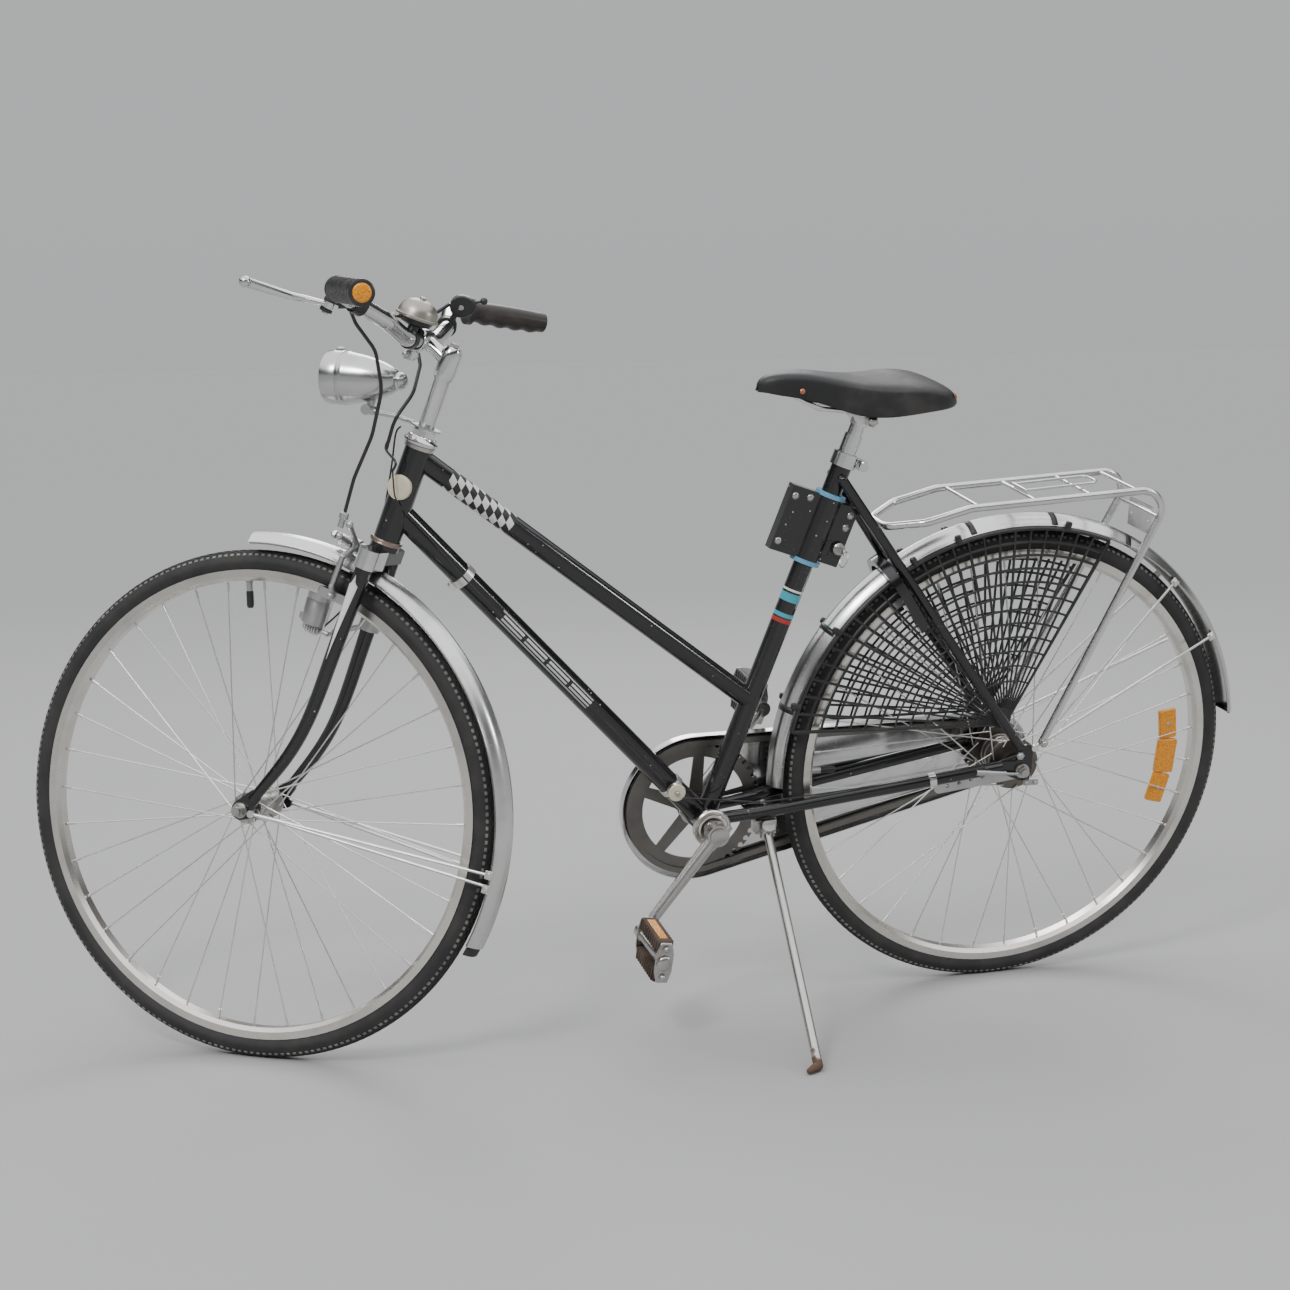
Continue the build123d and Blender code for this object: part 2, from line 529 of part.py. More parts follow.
def caliper_arm(name, side):
    back = arm_planes[name]
    pivot = head(back, 0, bolt_up)
    lever_end = head(back, *arm_ends[name])
    knee = head(back, side * 34, bolt_up - 14)
    foot = head(back, side * 36, pad_up + 14)
    shoe = head(back, side * 25, pad_up)
    arm = rod(pivot - HEAD_BACK * 4, pivot + HEAD_BACK * 4, 9)
    arm += rod(pivot, knee, 4) + ball(knee, 4.3) + rod(knee, foot, 4) + ball(foot, 4.3) + rod(foot, shoe, 4)
    arm += rod(pivot, lever_end, 3.7) + ball(lever_end, 5)
    holder = head(back - 14, side * 20, pad_up), head(back + 14, side * 20, pad_up)
    arm += rod(head(back, side * 30, pad_up), head(back, side * 18, pad_up), 3.6)
    arm += rod(holder[0], holder[1], 4.5)
    return arm - rod(pivot - HEAD_BACK * 9, pivot + HEAD_BACK * 9, 3.5 + RUNNING)


for name, side in (("left", -1), ("right", 1)):
    keep("caliper_" + name, "caliper_arm_" + name, caliper_arm(name, side))

# Brackets for the front brake bolt, the headlight and the dynamo
bolt = rod(head(-13, 0, bolt_up), head(-56, 0, bolt_up), 3.5)
bolt += rod(head(-50.6, 0, bolt_up), head(-57, 0, bolt_up), 7)
bolt += rod(head(-15, 0, bolt_up), head(-31.7, 0, bolt_up), 6.5)
bolt -= cover.solids() + fork.solids()
brake_bolt = max(bolt.solids(), key=lambda part: part.volume)

lamp_pivot = head(-84, 0, 153)
lamp_plate_up = HEAD_TOP + 22.5
bracket = rod(head(0, 0, lamp_plate_up - 1), head(0, 0, lamp_plate_up + 1), 20)
bracket += bent([head(-18, 0, lamp_plate_up), head(-46, 0, lamp_plate_up - 2),
                 lamp_pivot + HEAD_BACK * 10.5], [16], 3)
for side in (-1, 1):
    ear = lamp_pivot + SIDE * (side * 8.65)
    bracket += rod(ear - SIDE * 2.35, ear + SIDE * 2.35, 7)
    bracket += block(ear + HEAD_BACK * 6, HEAD_BACK, HEAD_UP, (13, 4, 5))
bracket += block(lamp_pivot + HEAD_BACK * 10.4, HEAD_BACK, HEAD_UP, (5.2, 20.6, 5.6))
bracket += rod(lamp_pivot - SIDE * 9, lamp_pivot + SIDE * 9, 2.5)
bracket -= rod(head(0, 0, 100), head(0, 0, 200), QUILL_R + 0.1)
dynamo_axis_point = head(-76, 38, -154)
blade_clip = head(0, BLADE_TOP_Y + 4, -118)
dynamo_arm = rod(blade_clip - HEAD_UP * 8, blade_clip + HEAD_UP * 8, BLADE_TOP_R + 3)
dynamo_arm += rod(blade_clip, dynamo_axis_point + SIDE * 14 + HEAD_BACK * 22, 4)
dynamo_arm += rod(dynamo_axis_point + SIDE * 14 + HEAD_BACK * 23, dynamo_axis_point + HEAD_BACK * 23, 4)
dynamo_arm += rod(dynamo_axis_point + HEAD_BACK * 25, dynamo_axis_point - HEAD_BACK * 6, 3.0)
dynamo_arm -= fork
dynamo_arm = max(dynamo_arm.solids(), key=lambda part: part.volume)
keep("steering", "fork_brackets", bracket, dynamo_arm, brake_bolt)

lamp_way = Vector(-1, 0, 0.03).normalized()
lamp_rear = head(-49, 0, 205)
lamp_profile = [(0, 0), (8, 1), (12, 9), (21, 28), (29, 52),
                (34, 76), (35.5, 84), (35.5, 104), (33, 108), (0, 112)]
lamp_plane = Plane(origin=lamp_rear, x_dir=SIDE, z_dir=SIDE.cross(lamp_way))
lamp = revolve(lamp_plane * make_face(Polyline(*lamp_profile, close=True)), axis=Axis(lamp_rear, lamp_way))
lug = rod(lamp_pivot - SIDE * 6, lamp_pivot + SIDE * 6, 6.5)
lug += rod(lamp_pivot, lamp_pivot + HEAD_UP * 36, 5)
lug -= rod(lamp_pivot - SIDE * 12, lamp_pivot + SIDE * 12, 2.5 + RUNNING)
keep("headlight", "headlight", lamp + lug)

dynamo_up = (HEAD_UP + HEAD_BACK * -0.05).normalized()
bottle_low = dynamo_axis_point + dynamo_up * 4
dynamo = rod(bottle_low, bottle_low + dynamo_up * 58, 18)
dynamo += rod(bottle_low + dynamo_up * 58, bottle_low + dynamo_up * 70, 11)
dynamo += rod(bottle_low + dynamo_up * 70, bottle_low + dynamo_up * 86, 8)
dynamo += rod(dynamo_axis_point - HEAD_BACK * 12, dynamo_axis_point + HEAD_BACK * 12, 6)
dynamo -= rod(dynamo_axis_point - HEAD_BACK * 30, dynamo_axis_point + HEAD_BACK * 30, 3.0 + RUNNING)
keep("dynamo", "dynamo", dynamo)


def axle(centre, tip_y, dropout_y, dropout_thick, cone_y):
    """A wheel axle with its bearing cones, washers and domed nuts."""
    shaft = rod(centre - SIDE * (tip_y - 2), centre + SIDE * (tip_y - 2), AXLE_R)
    for side in (-1, 1):
        out = SIDE * side
        shaft += rod(centre + out * cone_y, centre + out * (dropout_y - 0.1), 8.5)
        outer = dropout_y + dropout_thick
        hexagon = Plane(origin=centre + out * (outer + 0.1), z_dir=out) * extrude(RegularPolygon(9, 6), 8)
        shaft += hexagon + rod(centre + out * (outer + 0.1), centre + out * (outer + 2), 10.5)
        shaft += rod(centre + out * (outer + 8), centre + out * tip_y, 6.0)
    return shaft


keep("steering", "front_axle", axle(FRONT_AXLE, 65, BLADE_TIP_Y - 2, 4, FRONT_HUB_WIDTH / 2 + GAP))
keep("frame", "rear_axle", axle(REAR_AXLE, 72, DROPOUT_INNER_Y, DROPOUT_THICK, CHAIN_LINE + 2 + GAP))

# ---------------------------------------------------------------- mudguards

def mudguard(centre, start_deg, end_deg):
    """A sheet blade of arched section over part of a wheel."""
    edge_r = MUDGUARD_R - MUDGUARD_DEPTH
    way = Vector(math.cos(math.radians(start_deg)), 0, math.sin(math.radians(start_deg)))
    plane = Plane(origin=centre, x_dir=way, z_dir=SIDE.cross(way))
    half = MUDGUARD_HALF_WIDTH
    outer = ThreePointArc((edge_r, -half), (MUDGUARD_R, 0), (edge_r, half))
    inner = ThreePointArc((edge_r, half - SHEET), (MUDGUARD_R - SHEET, 0), (edge_r, -half + SHEET))
    face = make_face([outer, Line(outer @ 1, inner @ 0), inner, Line(inner @ 1, outer @ 0)])
    arc = revolve(plane * face, axis=Axis(centre, (0, 1, 0)), revolution_arc=-(end_deg - start_deg))
    return arc


def on_arc(centre, radius, degrees, y=0.0):
    turn = math.radians(degrees)
    return centre + Vector(radius * math.cos(turn), y, radius * math.sin(turn))


FRONT_GUARD = (-26.0, 92.0)
REAR_GUARD = (8.5, 182.5)
keep("steering", "front_mudguard", mudguard(FRONT_AXLE, *FRONT_GUARD))
keep("frame", "rear_mudguard", mudguard(REAR_AXLE, *REAR_GUARD))

front_stays = []
rear_stays = []
edge_r = MUDGUARD_R - MUDGUARD_DEPTH - 4
for side in (-1, 1):
    edge_y = side * (MUDGUARD_HALF_WIDTH + STAY_WIRE_R + 0.4)
    eye = FRONT_AXLE + Vector(18, side * (BLADE_TIP_Y + 2 + STAY_WIRE_R + 1.3), -3)
    stay = rod(eye - SIDE * (side * 3), eye + SIDE * (side * 3), 5)
    for degrees in (-9.5, -12):
        stay += rod(eye, on_arc(FRONT_AXLE, edge_r, degrees, edge_y), STAY_WIRE_R)
    front_stays.append(stay)
    eye = REAR_AXLE + Vector(16, side * (DROPOUT_INNER_Y + DROPOUT_THICK + STAY_WIRE_R + 0.2), 34)
    stay = rod(eye - SIDE * STAY_WIRE_R, eye + SIDE * STAY_WIRE_R, 5)
    for degrees in (48, 30):
        stay += rod(eye, on_arc(REAR_AXLE, edge_r, degrees, edge_y), STAY_WIRE_R)
    rear_stays.append(stay)
keep("steering", "front_mudguard_stays", *front_stays)
keep("frame", "rear_mudguard_stays", *rear_stays)

# ---------------------------------------------------------------- rack

rack_top_z = 751.0
front_z = 705.0
rail = []
for side in (-1, 1):
    rail_y = side * RACK_HALF_WIDTH
    rail.append([Vector(-224, side * 26, front_z), Vector(-178, rail_y, front_z + 12),
                 Vector(-112, rail_y, rack_top_z - 16), Vector(150, rail_y, rack_top_z),
                 Vector(194, rail_y, rack_top_z - 8),
                 Vector(22, side * (DROPOUT_INNER_Y + DROPOUT_THICK + RACK_TUBE_R + 5.5), TYRE_R + 46)])
loop = rail[0][::-1] + rail[1]
rack = bent(loop, [30, 24, 60, 24, 24, 24, 24, 60, 24, 30], RACK_TUBE_R)
for side in (-1, 1):
    foot = Vector(22, side * (DROPOUT_INNER_Y + DROPOUT_THICK + RACK_TUBE_R + 5.5), TYRE_R + 46)
    rack += ball(foot, RACK_TUBE_R)
for share in (0.05, 0.38, 0.7, 0.97):
    x = -112 + 262 * share
    z = rack_top_z - 16 + 16 * share
    rack += rod(Vector(x, -RACK_HALF_WIDTH, z), Vector(x, RACK_HALF_WIDTH, z), RACK_BAR_R)

# The rear light's plate hangs from a bar between the two legs
bar_z = rack_top_z - 40
bar_x = 194 - (40 - 8) * (194 - 22) / (rack_top_z - 8 - TYRE_R - 46)
rack += rod(Vector(bar_x, -RACK_HALF_WIDTH, bar_z), Vector(bar_x, RACK_HALF_WIDTH, bar_z), RACK_BAR_R)
rack_light = Vector(bar_x + 5.1, 0, bar_z - 12)
lamp_plate = block(rack_light - Vector(1.5, 0, 0), (1, 0, 0), (0, 0, 1), (3, 66, 40))
for side in (-1, 1):
    hole = rack_light + SIDE * (side * LIGHT_HOLE_GAP / 2)
    lamp_plate -= rod(hole - Vector(20, 0, 0), hole + Vector(20, 0, 0), LIGHT_HOLE_R)
rack += lamp_plate
keep("frame", "rear_rack", rack)

clip_pivot = Vector(-112 + 262 * 0.38, 0, rack_top_z - 16 + 16 * 0.38 + RACK_BAR_R + 3.6)
clip = bent([clip_pivot - SIDE * 20, clip_pivot + Vector(112, -20, 8), clip_pivot + Vector(112, 20, 8),
             clip_pivot + SIDE * 20], [12, 12], 2.0)
clip += ball(clip_pivot - SIDE * 20, 2.4) + ball(clip_pivot + SIDE * 20, 2.4)
clip += rod(clip_pivot - SIDE * 20, clip_pivot + SIDE * 20, 2.4)
keep("rack_clip", "rack_clip", clip)

# ---------------------------------------------------------------- skirt guards

GUARD_APEX = Vector(-21, 34, 405)
GUARD_START_DEG = 61.4
GUARD_END_DEG = 178.8
GUARD_RIBS = 12
GUARD_RINGS = 8
RIB_WIDTH = 3.0


def guard_reach(degrees):
    """Distance from the guard's apex to its outer edge beside the mudguard."""
    way = Vector(math.cos(math.radians(degrees)), 0, math.sin(math.radians(degrees)))
    rel = Vector(GUARD_APEX.X, 0, GUARD_APEX.Z - TYRE_R)
    b = way.dot(rel)
    outer = MUDGUARD_R - MUDGUARD_DEPTH - 4
    return -b + math.sqrt(b * b - rel.dot(rel) + outer * outer)


def skirt_guard(side):
    mid = math.radians((GUARD_START_DEG + GUARD_END_DEG) / 2)
    way = Vector(math.cos(mid), 0, math.sin(mid))
    across = Vector(way.Z, 0, -way.X)
    reach = guard_reach(math.degrees(mid))
    inward = Vector(way.X, -side * 10.0 / reach, way.Z).normalized()
    apex = Vector(GUARD_APEX.X, side * GUARD_APEX.Y, GUARD_APEX.Z)
    plane = Plane(origin=apex, x_dir=across, z_dir=across.cross(inward))

    def spot(degrees, share):
        turn = math.radians(degrees) - mid
        far = guard_reach(degrees) * share
        sign = 1 if plane.y_dir.dot(way) > 0 else -1
        return (-far * math.sin(turn), sign * far * math.cos(turn))

    count = 24
    sweep = GUARD_END_DEG - GUARD_START_DEG
    edge = [spot(GUARD_START_DEG + sweep * i / count, 1.0) for i in range(count + 1)]
    face = make_face(Polyline((0, -4), *edge, close=True))
    holes = []
    step = (GUARD_END_DEG - GUARD_START_DEG) / GUARD_RIBS
    for rib in range(GUARD_RIBS):
        for ring in range(1, GUARD_RINGS):
            low, high = ring / GUARD_RINGS + 0.012, (ring + 1) / GUARD_RINGS - 0.012
            trim = math.degrees(RIB_WIDTH / (guard_reach(mid) * low)) / 2 + 0.35
            first, last = GUARD_START_DEG + rib * step + trim, GUARD_START_DEG + (rib + 1) * step - trim
            corners = [spot(first, low), spot(last, low), spot(last, high), spot(first, high)]
            holes.append(make_face(Polyline(*corners, close=True)))
    face = face - holes
    return extrude(plane * face, amount=SKIRT_THICK / 2, both=True)


for name, side in (("left", -1), ("right", 1)):
    keep("frame", "skirt_guard_" + name, skirt_guard(side))

# ---------------------------------------------------------------- drive

def belt_outline(grow, y_low, y_high):
    """The loop round the chain ring and the sprocket, grown by a distance."""
    return capsule_plate(BB, REAR_AXLE, RING_R + grow, SPROCKET_R + grow, y_low, y_high)


PLATE_HALF = 4.2
chain = belt_outline(PLATE_HALF, CHAIN_LINE - 3.0, CHAIN_LINE - 1.4) + belt_outline(
    PLATE_HALF, CHAIN_LINE + 1.4, CHAIN_LINE + 3.0)
chain -= belt_outline(-PLATE_HALF, CHAIN_LINE - 4, CHAIN_LINE + 4)
drive_axis = Vector(REAR_AXLE.X - BB.X, 0, REAR_AXLE.Z - BB.Z)
drive_way = drive_axis.normalized()
wrap = math.asin((RING_R - SPROCKET_R) / drive_axis.length)
for sign in (-1, 1):
    across = Vector(-drive_way.Z, 0, drive_way.X) * (sign * math.cos(wrap)) + drive_way * math.sin(wrap)
    start, end = BB + across * RING_R, REAR_AXLE + across * SPROCKET_R
    run = (end - start).normalized()
    start, end = start + run * 40 + SIDE * CHAIN_LINE, end - run * 27 + SIDE * CHAIN_LINE
    chain += block(along(start, end, 0.5), run, across, ((end - start).length, 2.9, 7.6))
keep("frame", "chain", chain)

GUARD_GROW = 12.0
guard_rear = REAR_AXLE + Vector(20, 0, 0)
guard_y = CHAIN_LINE + 8.0
shell = belt_outline(GUARD_GROW, CHAIN_LINE - 5, guard_y)
shell -= belt_outline(GUARD_GROW - 1.2, CHAIN_LINE - 6, guard_y - 1.2)
ring_open = BB + SIDE * (guard_y - 10)
shell -= rod(ring_open, ring_open + SIDE * 20, RING_R - 12)
axle_open = REAR_AXLE + SIDE * (guard_y - 20)
shell -= rod(axle_open, axle_open + SIDE * 40, 24)
stay_line = [BB + Vector(12, 24, 8), BB + Vector(70, 30, 14), REAR_AXLE + stay_tip + SIDE * 57]
stay_clear = bent(stay_line, [120], CHAIN_STAY_R + 1)
shell -= stay_clear
shell -= capsule_plate(REAR_AXLE, REAR_AXLE + Vector(6, 0, 70), 16.5, 12, DROPOUT_INNER_Y - 14, DROPOUT_INNER_Y + 5)
shell -= rod(BB - SIDE * 5, BB + SIDE * 80, 26)
right_stay_low = REAR_AXLE + Vector(-4, DROPOUT_INNER_Y + DROPOUT_THICK / 2, 34)
shell -= rod(right_stay_low, seat(0, 21.0, SEAT_TUBE_LENGTH - 32), SEAT_STAY_R + 1)
keep("frame", "chain_guard", max(shell.solids(), key=lambda part: part.volume))

ring = toothed_disc(BB, RING_TEETH, RING_R, CHAIN_LINE, 2.2, RING_R - 20)
spider = rod(BB + SIDE * (CHAIN_LINE - 0.6 + GAP), BB + SIDE * (CHAIN_LINE + 3), 24)
for index in range(5):
    turn = math.radians(CRANK_DEG + 72 * index)
    far = BB + Vector(math.cos(turn) * (RING_R - 18), 0, math.sin(turn) * (RING_R - 18))
    spider += capsule_plate(BB, far, 11, 8, CHAIN_LINE - 1.1, CHAIN_LINE + 1.1)
ring += spider
ring -= rod(BB, BB + SIDE * 80, SPINDLE_R)
keep("crank", "chainring", ring)

crank_way = Vector(math.cos(math.radians(CRANK_DEG)), 0, math.sin(math.radians(CRANK_DEG)))
spindle = rod(BB - SIDE * (CRANK_Y + 8), BB + SIDE * (CRANK_Y + 8), SPINDLE_R)
arms = spindle
pedal_axles = {}
for side in (-1, 1):
    way = crank_way * (1 if side < 0 else -1)
    root = BB + SIDE * (side * CRANK_Y)
    tip = root + way * CRANK_LENGTH + SIDE * (side * 14)
    arms += rod(root - SIDE * (side * 9), root + SIDE * (side * 9), 16)
    arms += cone(root, tip, 10, 7.5) + rod(tip - SIDE * 7, tip + SIDE * 7, 11)
    cotter = root + way * 0 + Vector(-way.Z, 0, way.X) * 9
    arms += rod(cotter - way * 20, cotter + way * 20, 4)
    end = tip + SIDE * (side * (7 + 4 + PEDAL_LENGTH - 6))
    arms += rod(tip, end, PEDAL_SPINDLE_R)
    arms += rod(tip + SIDE * (side * 7), tip + SIDE * (side * 10), 8)
    pedal_axles[side] = tip + SIDE * (side * 11)
keep("crank", "crankset", arms)


def pedal(side):
    inner = pedal_axles[side]
    out = SIDE * side
    outer = inner + out * PEDAL_LENGTH
    lift = Vector(0.1, 0, 1).normalized()
    body = rod(inner + out * 2, outer - out * 4, 9)
    for end, thick in ((inner, 3), (outer - out * 3, 3)):
        body += block(end + out * (thick / 2), lift, out, (PEDAL_WIDTH - 4, 14, thick))
        body += rod(end, end + out * thick, 14)
    body += rod(outer, outer + out * 4, 12)
    for way in (-1, 1):
        centre = inner + out * (PEDAL_LENGTH / 2) + lift * (way * (PEDAL_WIDTH / 2 - 9))
        body += block(centre, lift, out, (18, PEDAL_THICK, PEDAL_LENGTH - 6.2))
        body += rod(centre - out * (PEDAL_LENGTH / 2 + 3), centre + out * (PEDAL_LENGTH / 2 + 3), 4)
    return body - rod(inner - out * 4, outer - out * 5, PEDAL_SPINDLE_R + RUNNING)


keep("pedal_left", "pedal_left", pedal(-1))
keep("pedal_right", "pedal_right", pedal(1))

# ---------------------------------------------------------------- saddle

post_top = seat(0, 0, SEAT_TUBE_LENGTH + 44)
keep("saddle", "seatpost", rod(seat(0, 0, SEAT_TUBE_LENGTH - 150), seat(0, 0, SEAT_TUBE_LENGTH + 30), post_r)
     + rod(seat(0, 0, SEAT_TUBE_LENGTH + 30), post_top, 10.5))
clamp_at = seat(0, 0, SEAT_TUBE_LENGTH + 58)
frame_work = rod(clamp_at - SIDE * 18, clamp_at + SIDE * 18, 13)
frame_work += rod(clamp_at - SIDE * 36, clamp_at + SIDE * 36, 5)
frame_work += rod(clamp_at - SIDE * 34, clamp_at + SIDE * 34, 9)
frame_work += rod(post_top, clamp_at, 12)
frame_work -= rod(seat(0, 0, SEAT_TUBE_LENGTH), post_top, 13)
for side in (-1, 1):
    y = side * 24
    rail_points = [Vector(-372, side * 5, 893), Vector(-330, y, 872), clamp_at + SIDE * y + Vector(0, 0, 9),
                   Vector(-215, side * 30, 868), Vector(-168, side * 44, 884)]
    frame_work += bent(rail_points, [25, 60, 60], 3.5)
SADDLE = [(-408, 7, 7, 898), (-385, 14, 11, 905), (-340, 23, 14, 907), (-290, 38, 18, 899), (-245, 60, 21, 894),
          (-200, 78, 20, 896), (-160, 72, 15, 892), (-140, 40, 9, 884)]
sections = []
for x, half_width, half_height, z in SADDLE:
    sections.append(Plane(origin=(x, 0, z), x_dir=(0, 1, 0), z_dir=(1, 0, 0)) * Ellipse(half_width, half_height))
cover = loft(sections)
frame_work -= cover
keep("saddle", "saddle_cover", cover)
keep("saddle", "saddle_frame", max(frame_work.solids(), key=lambda part: part.volume))

# ---------------------------------------------------------------- locks, stand, arms and cables

case_low, case_high = SEAT_TUBE_LENGTH - 154, SEAT_TUBE_LENGTH - 60
case = block(seat(-30, 0, (case_low + case_high) / 2), SEAT_BACK, SEAT_UP, (60, 18, case_high - case_low))
case += block(seat(21, 0, (case_low + case_high) / 2), SEAT_BACK, SEAT_UP, (44, 26, case_high - case_low - 8))
case += rod(seat(0, 0, case_low), seat(0, 0, case_high), SEAT_TUBE_R + 5)
case += rod(seat(34, -16, case_low + 30), seat(34, 0, case_low + 30), 10)
case -= rod(seat(0, 0, case_low - 5), seat(0, 0, case_high + 5), SEAT_TUBE_R + 0.05)
case -= rod(top_start, top_end, TOP_TUBE_R + 1)
keep("frame", "lock_case", case)

lock_radial = Vector(-178, 0, 274).normalized()
lock_back = Vector(lock_radial.Z, 0, -lock_radial.X)
lock_mid = REAR_AXLE + lock_radial * 330 - lock_back * 18
lock_plane = Plane(origin=lock_mid, x_dir=SIDE, z_dir=lock_back)
arch = Circle(52) - Circle(41)
arch -= Pos(0, -60 if lock_plane.y_dir.dot(lock_radial) > 0 else 60) * Rectangle(200, 120)
down = -1 if lock_plane.y_dir.dot(lock_radial) > 0 else 1
legs = Pos(-46.5, down * 30) * Rectangle(11, 60) + Pos(46.5, down * 30) * Rectangle(11, 60)
keep("frame", "ring_lock", extrude(lock_plane * (arch + legs), amount=7, both=True))

stand_pivot = Vector(BB.X + 82, -41, BB.Z - 10)
bridge = block(Vector(BB.X + 82, 0, BB.Z + 2), (1, 0, 0), (0, 0, 1), (34, 56, 5))
bridge += block(Vector(BB.X + 82, -25, BB.Z - 6), (1, 0, 0), (0, 0, 1), (30, 22, 20))
bridge -= rod(BB + Vector(12, -24, 8), BB + Vector(70, -30, 14), CHAIN_STAY_R)
for stay in chain_stays:
    bridge -= stay
bridge = max(bridge.solids(), key=lambda part: part.volume)

lean = math.radians(LEAN_DEG)
stand_foot_ground = (-405.0, -358.0)


def upright(x, y, z):
    """Take a point given with the bicycle leaning back to the upright frame."""
    return Vector(x, y * math.cos(lean) + z * math.sin(lean), -y * math.sin(lean) + z * math.cos(lean))


foot = upright(stand_foot_ground[0], stand_foot_ground[1], STAND_R)
leg_down = (foot - stand_pivot).normalized()
leg_length = (foot - stand_pivot).length
leg_folded = Vector(1, -0.10, 0).normalized()
stand_axis = leg_down.cross(leg_folded).normalized()
stand_range = math.degrees(math.acos(leg_down.dot(leg_folded)))
boss = rod(stand_pivot - stand_axis * 8, stand_pivot + stand_axis * 8, 9)
pin = rod(stand_pivot - stand_axis * 12, stand_pivot + stand_axis * 12, 4)
ears = rod(stand_pivot - stand_axis * 12, stand_pivot - stand_axis * 8.3, 9)
ears += rod(stand_pivot + stand_axis * 8.3, stand_pivot + stand_axis * 12, 9)
link_start = Vector(BB.X + 82, -30, BB.Z - 6)
ears += rod(link_start, stand_pivot - stand_axis * 10.2, 3.4)
ears += rod(link_start, stand_pivot + stand_axis * 10.2, 3.4)
bracket = bridge + ears + pin - rod(stand_pivot - stand_axis * 8.3, stand_pivot + stand_axis * 8.3, 11) + pin
bracket -= rod(stand_pivot + leg_folded * 5, stand_pivot + leg_folded * 70, STAND_R + 1.2)
for stay in chain_stays:
    bracket -= stay
keep("frame", "kickstand_bracket", max(bracket.solids(), key=lambda part: part.volume))
knee = stand_pivot + leg_down * (leg_length - 14)
leg = rod(stand_pivot, knee, STAND_R) + ball(knee, STAND_R)
toe_end = upright(stand_foot_ground[0] - 16, stand_foot_ground[1] - 10, STAND_R - 2.2)
leg += rod(knee, foot, STAND_R) + ball(foot, STAND_R) + cone(foot, toe_end, STAND_R, 4.0) + ball(toe_end, 4.0)
leg += boss
leg -= rod(stand_pivot - stand_axis * 20, stand_pivot + stand_axis * 20, 4 + RUNNING)
keep("kickstand", "kickstand", leg)

arm_y = -(REAR_HUB_WIDTH / 2 + 3.2)
arm_end = REAR_AXLE + Vector(-120, 0, -24)
coaster = capsule_plate(REAR_AXLE, arm_end, 18, 8, arm_y - 3, arm_y)
for index in range(4):
    hole = along(REAR_AXLE, arm_end, 0.45 + 0.15 * index)
    coaster -= rod(Vector(hole.X, arm_y - 9, hole.Z), Vector(hole.X, arm_y + 9, hole.Z), 3)
coaster -= rod(REAR_AXLE - SIDE * 80, REAR_AXLE + SIDE * 80, AXLE_R + 0.1)
coaster -= chain_stays[0]
keep("frame", "coaster_arm", max(coaster.solids(), key=lambda part: part.volume))

down_way = (BB - down_start).normalized()
down_off = Vector(-down_way.Z, 0, down_way.X)
band_at = along(down_start, BB, 0.20)
clamp_band = rod(band_at - down_way * 6, band_at + down_way * 6, DOWN_TUBE_R + 2, DOWN_TUBE_R + 0.05)
clamp_band += rod(band_at - down_off * 20 - SIDE * 6, band_at - down_off * 20 + SIDE * 6, 5)
clamp_band -= rod(band_at - down_way * 12, band_at + down_way * 12, DOWN_TUBE_R + 0.05)
pulley_at = along(down_start, BB, 0.885) - SIDE * (DOWN_TUBE_R + 10)
pulley_band_at = along(down_start, BB, 0.885)
pulley_band = rod(pulley_band_at - down_way * 5, pulley_band_at + down_way * 5, DOWN_TUBE_R + 1.6)
pulley_band += rod(pulley_band_at - SIDE * 10, pulley_at, 3)
pulley_band -= rod(pulley_band_at - down_way * 12, pulley_band_at + down_way * 12, DOWN_TUBE_R + 0.05)
wheel = rod(pulley_at + SIDE * 3.5, pulley_at - SIDE * 3.5, 12)
stay_band_at = along(BB + Vector(70, -30, 14), REAR_AXLE + stay_tip - SIDE * 57, 0.71)
stay_way = (REAR_AXLE + stay_tip - SIDE * 57 - BB - Vector(70, -30, 14)).normalized()
stay_band = rod(stay_band_at - stay_way * 5, stay_band_at + stay_way * 5,
                CHAIN_STAY_R + 1.6, CHAIN_STAY_R + 0.05)
keep("frame", "cable_clamps", clamp_band, pulley_band + wheel, stay_band)

cable_side = DOWN_TUBE_R + 5.5
head_guide = head(-27, -16, 96)
cable_points = [head_guide, head(-14, -26, 62),
                down_start + down_way * 60 - SIDE * (cable_side - 2) + down_off * 4,
                band_at - SIDE * cable_side, along(down_start, BB, 0.5) - SIDE * cable_side,
                pulley_at + Vector(-22, 0, 22) - SIDE * 5]
gear_cable = bent(cable_points, [30, 90, 500, 900], WIRE_R)
lower_points = [pulley_at + Vector(8, -5, -8), BB + Vector(70, -46, 36), stay_band_at + Vector(0, -12, 9),
                REAR_AXLE + Vector(-60, -64, 12)]
gear_cable_low = bent(lower_points, [90, 400], WIRE_R)
keep("frame", "gear_cable", gear_cable, gear_cable_low)

brake_points = [head(-98, -134, 286), head(-92, -104, 262), head(-70, -70, 236), head(-54, -48, 190),
                head(-48, -44, 130), head(-52, -45, 70), head(-48, -45, 19)]
upper_points = [trigger_pivot - HEAD_BACK * 17 - HEAD_UP * 4, head(-92, 66, 268), head(-52, 36, 228),
                head(-29, -8, 196), head(-34, -26, 158), head(-33, -22, 118)]
brake_cable = bent(brake_points, [26, 40, 60, 90, 90], CABLE_R)
gear_upper = bent(upper_points, [18, 24, 30, 50], CABLE_R)
keep("steering", "control_cables", brake_cable, gear_upper)

# ---------------------------------------------------------------- standing pose and output

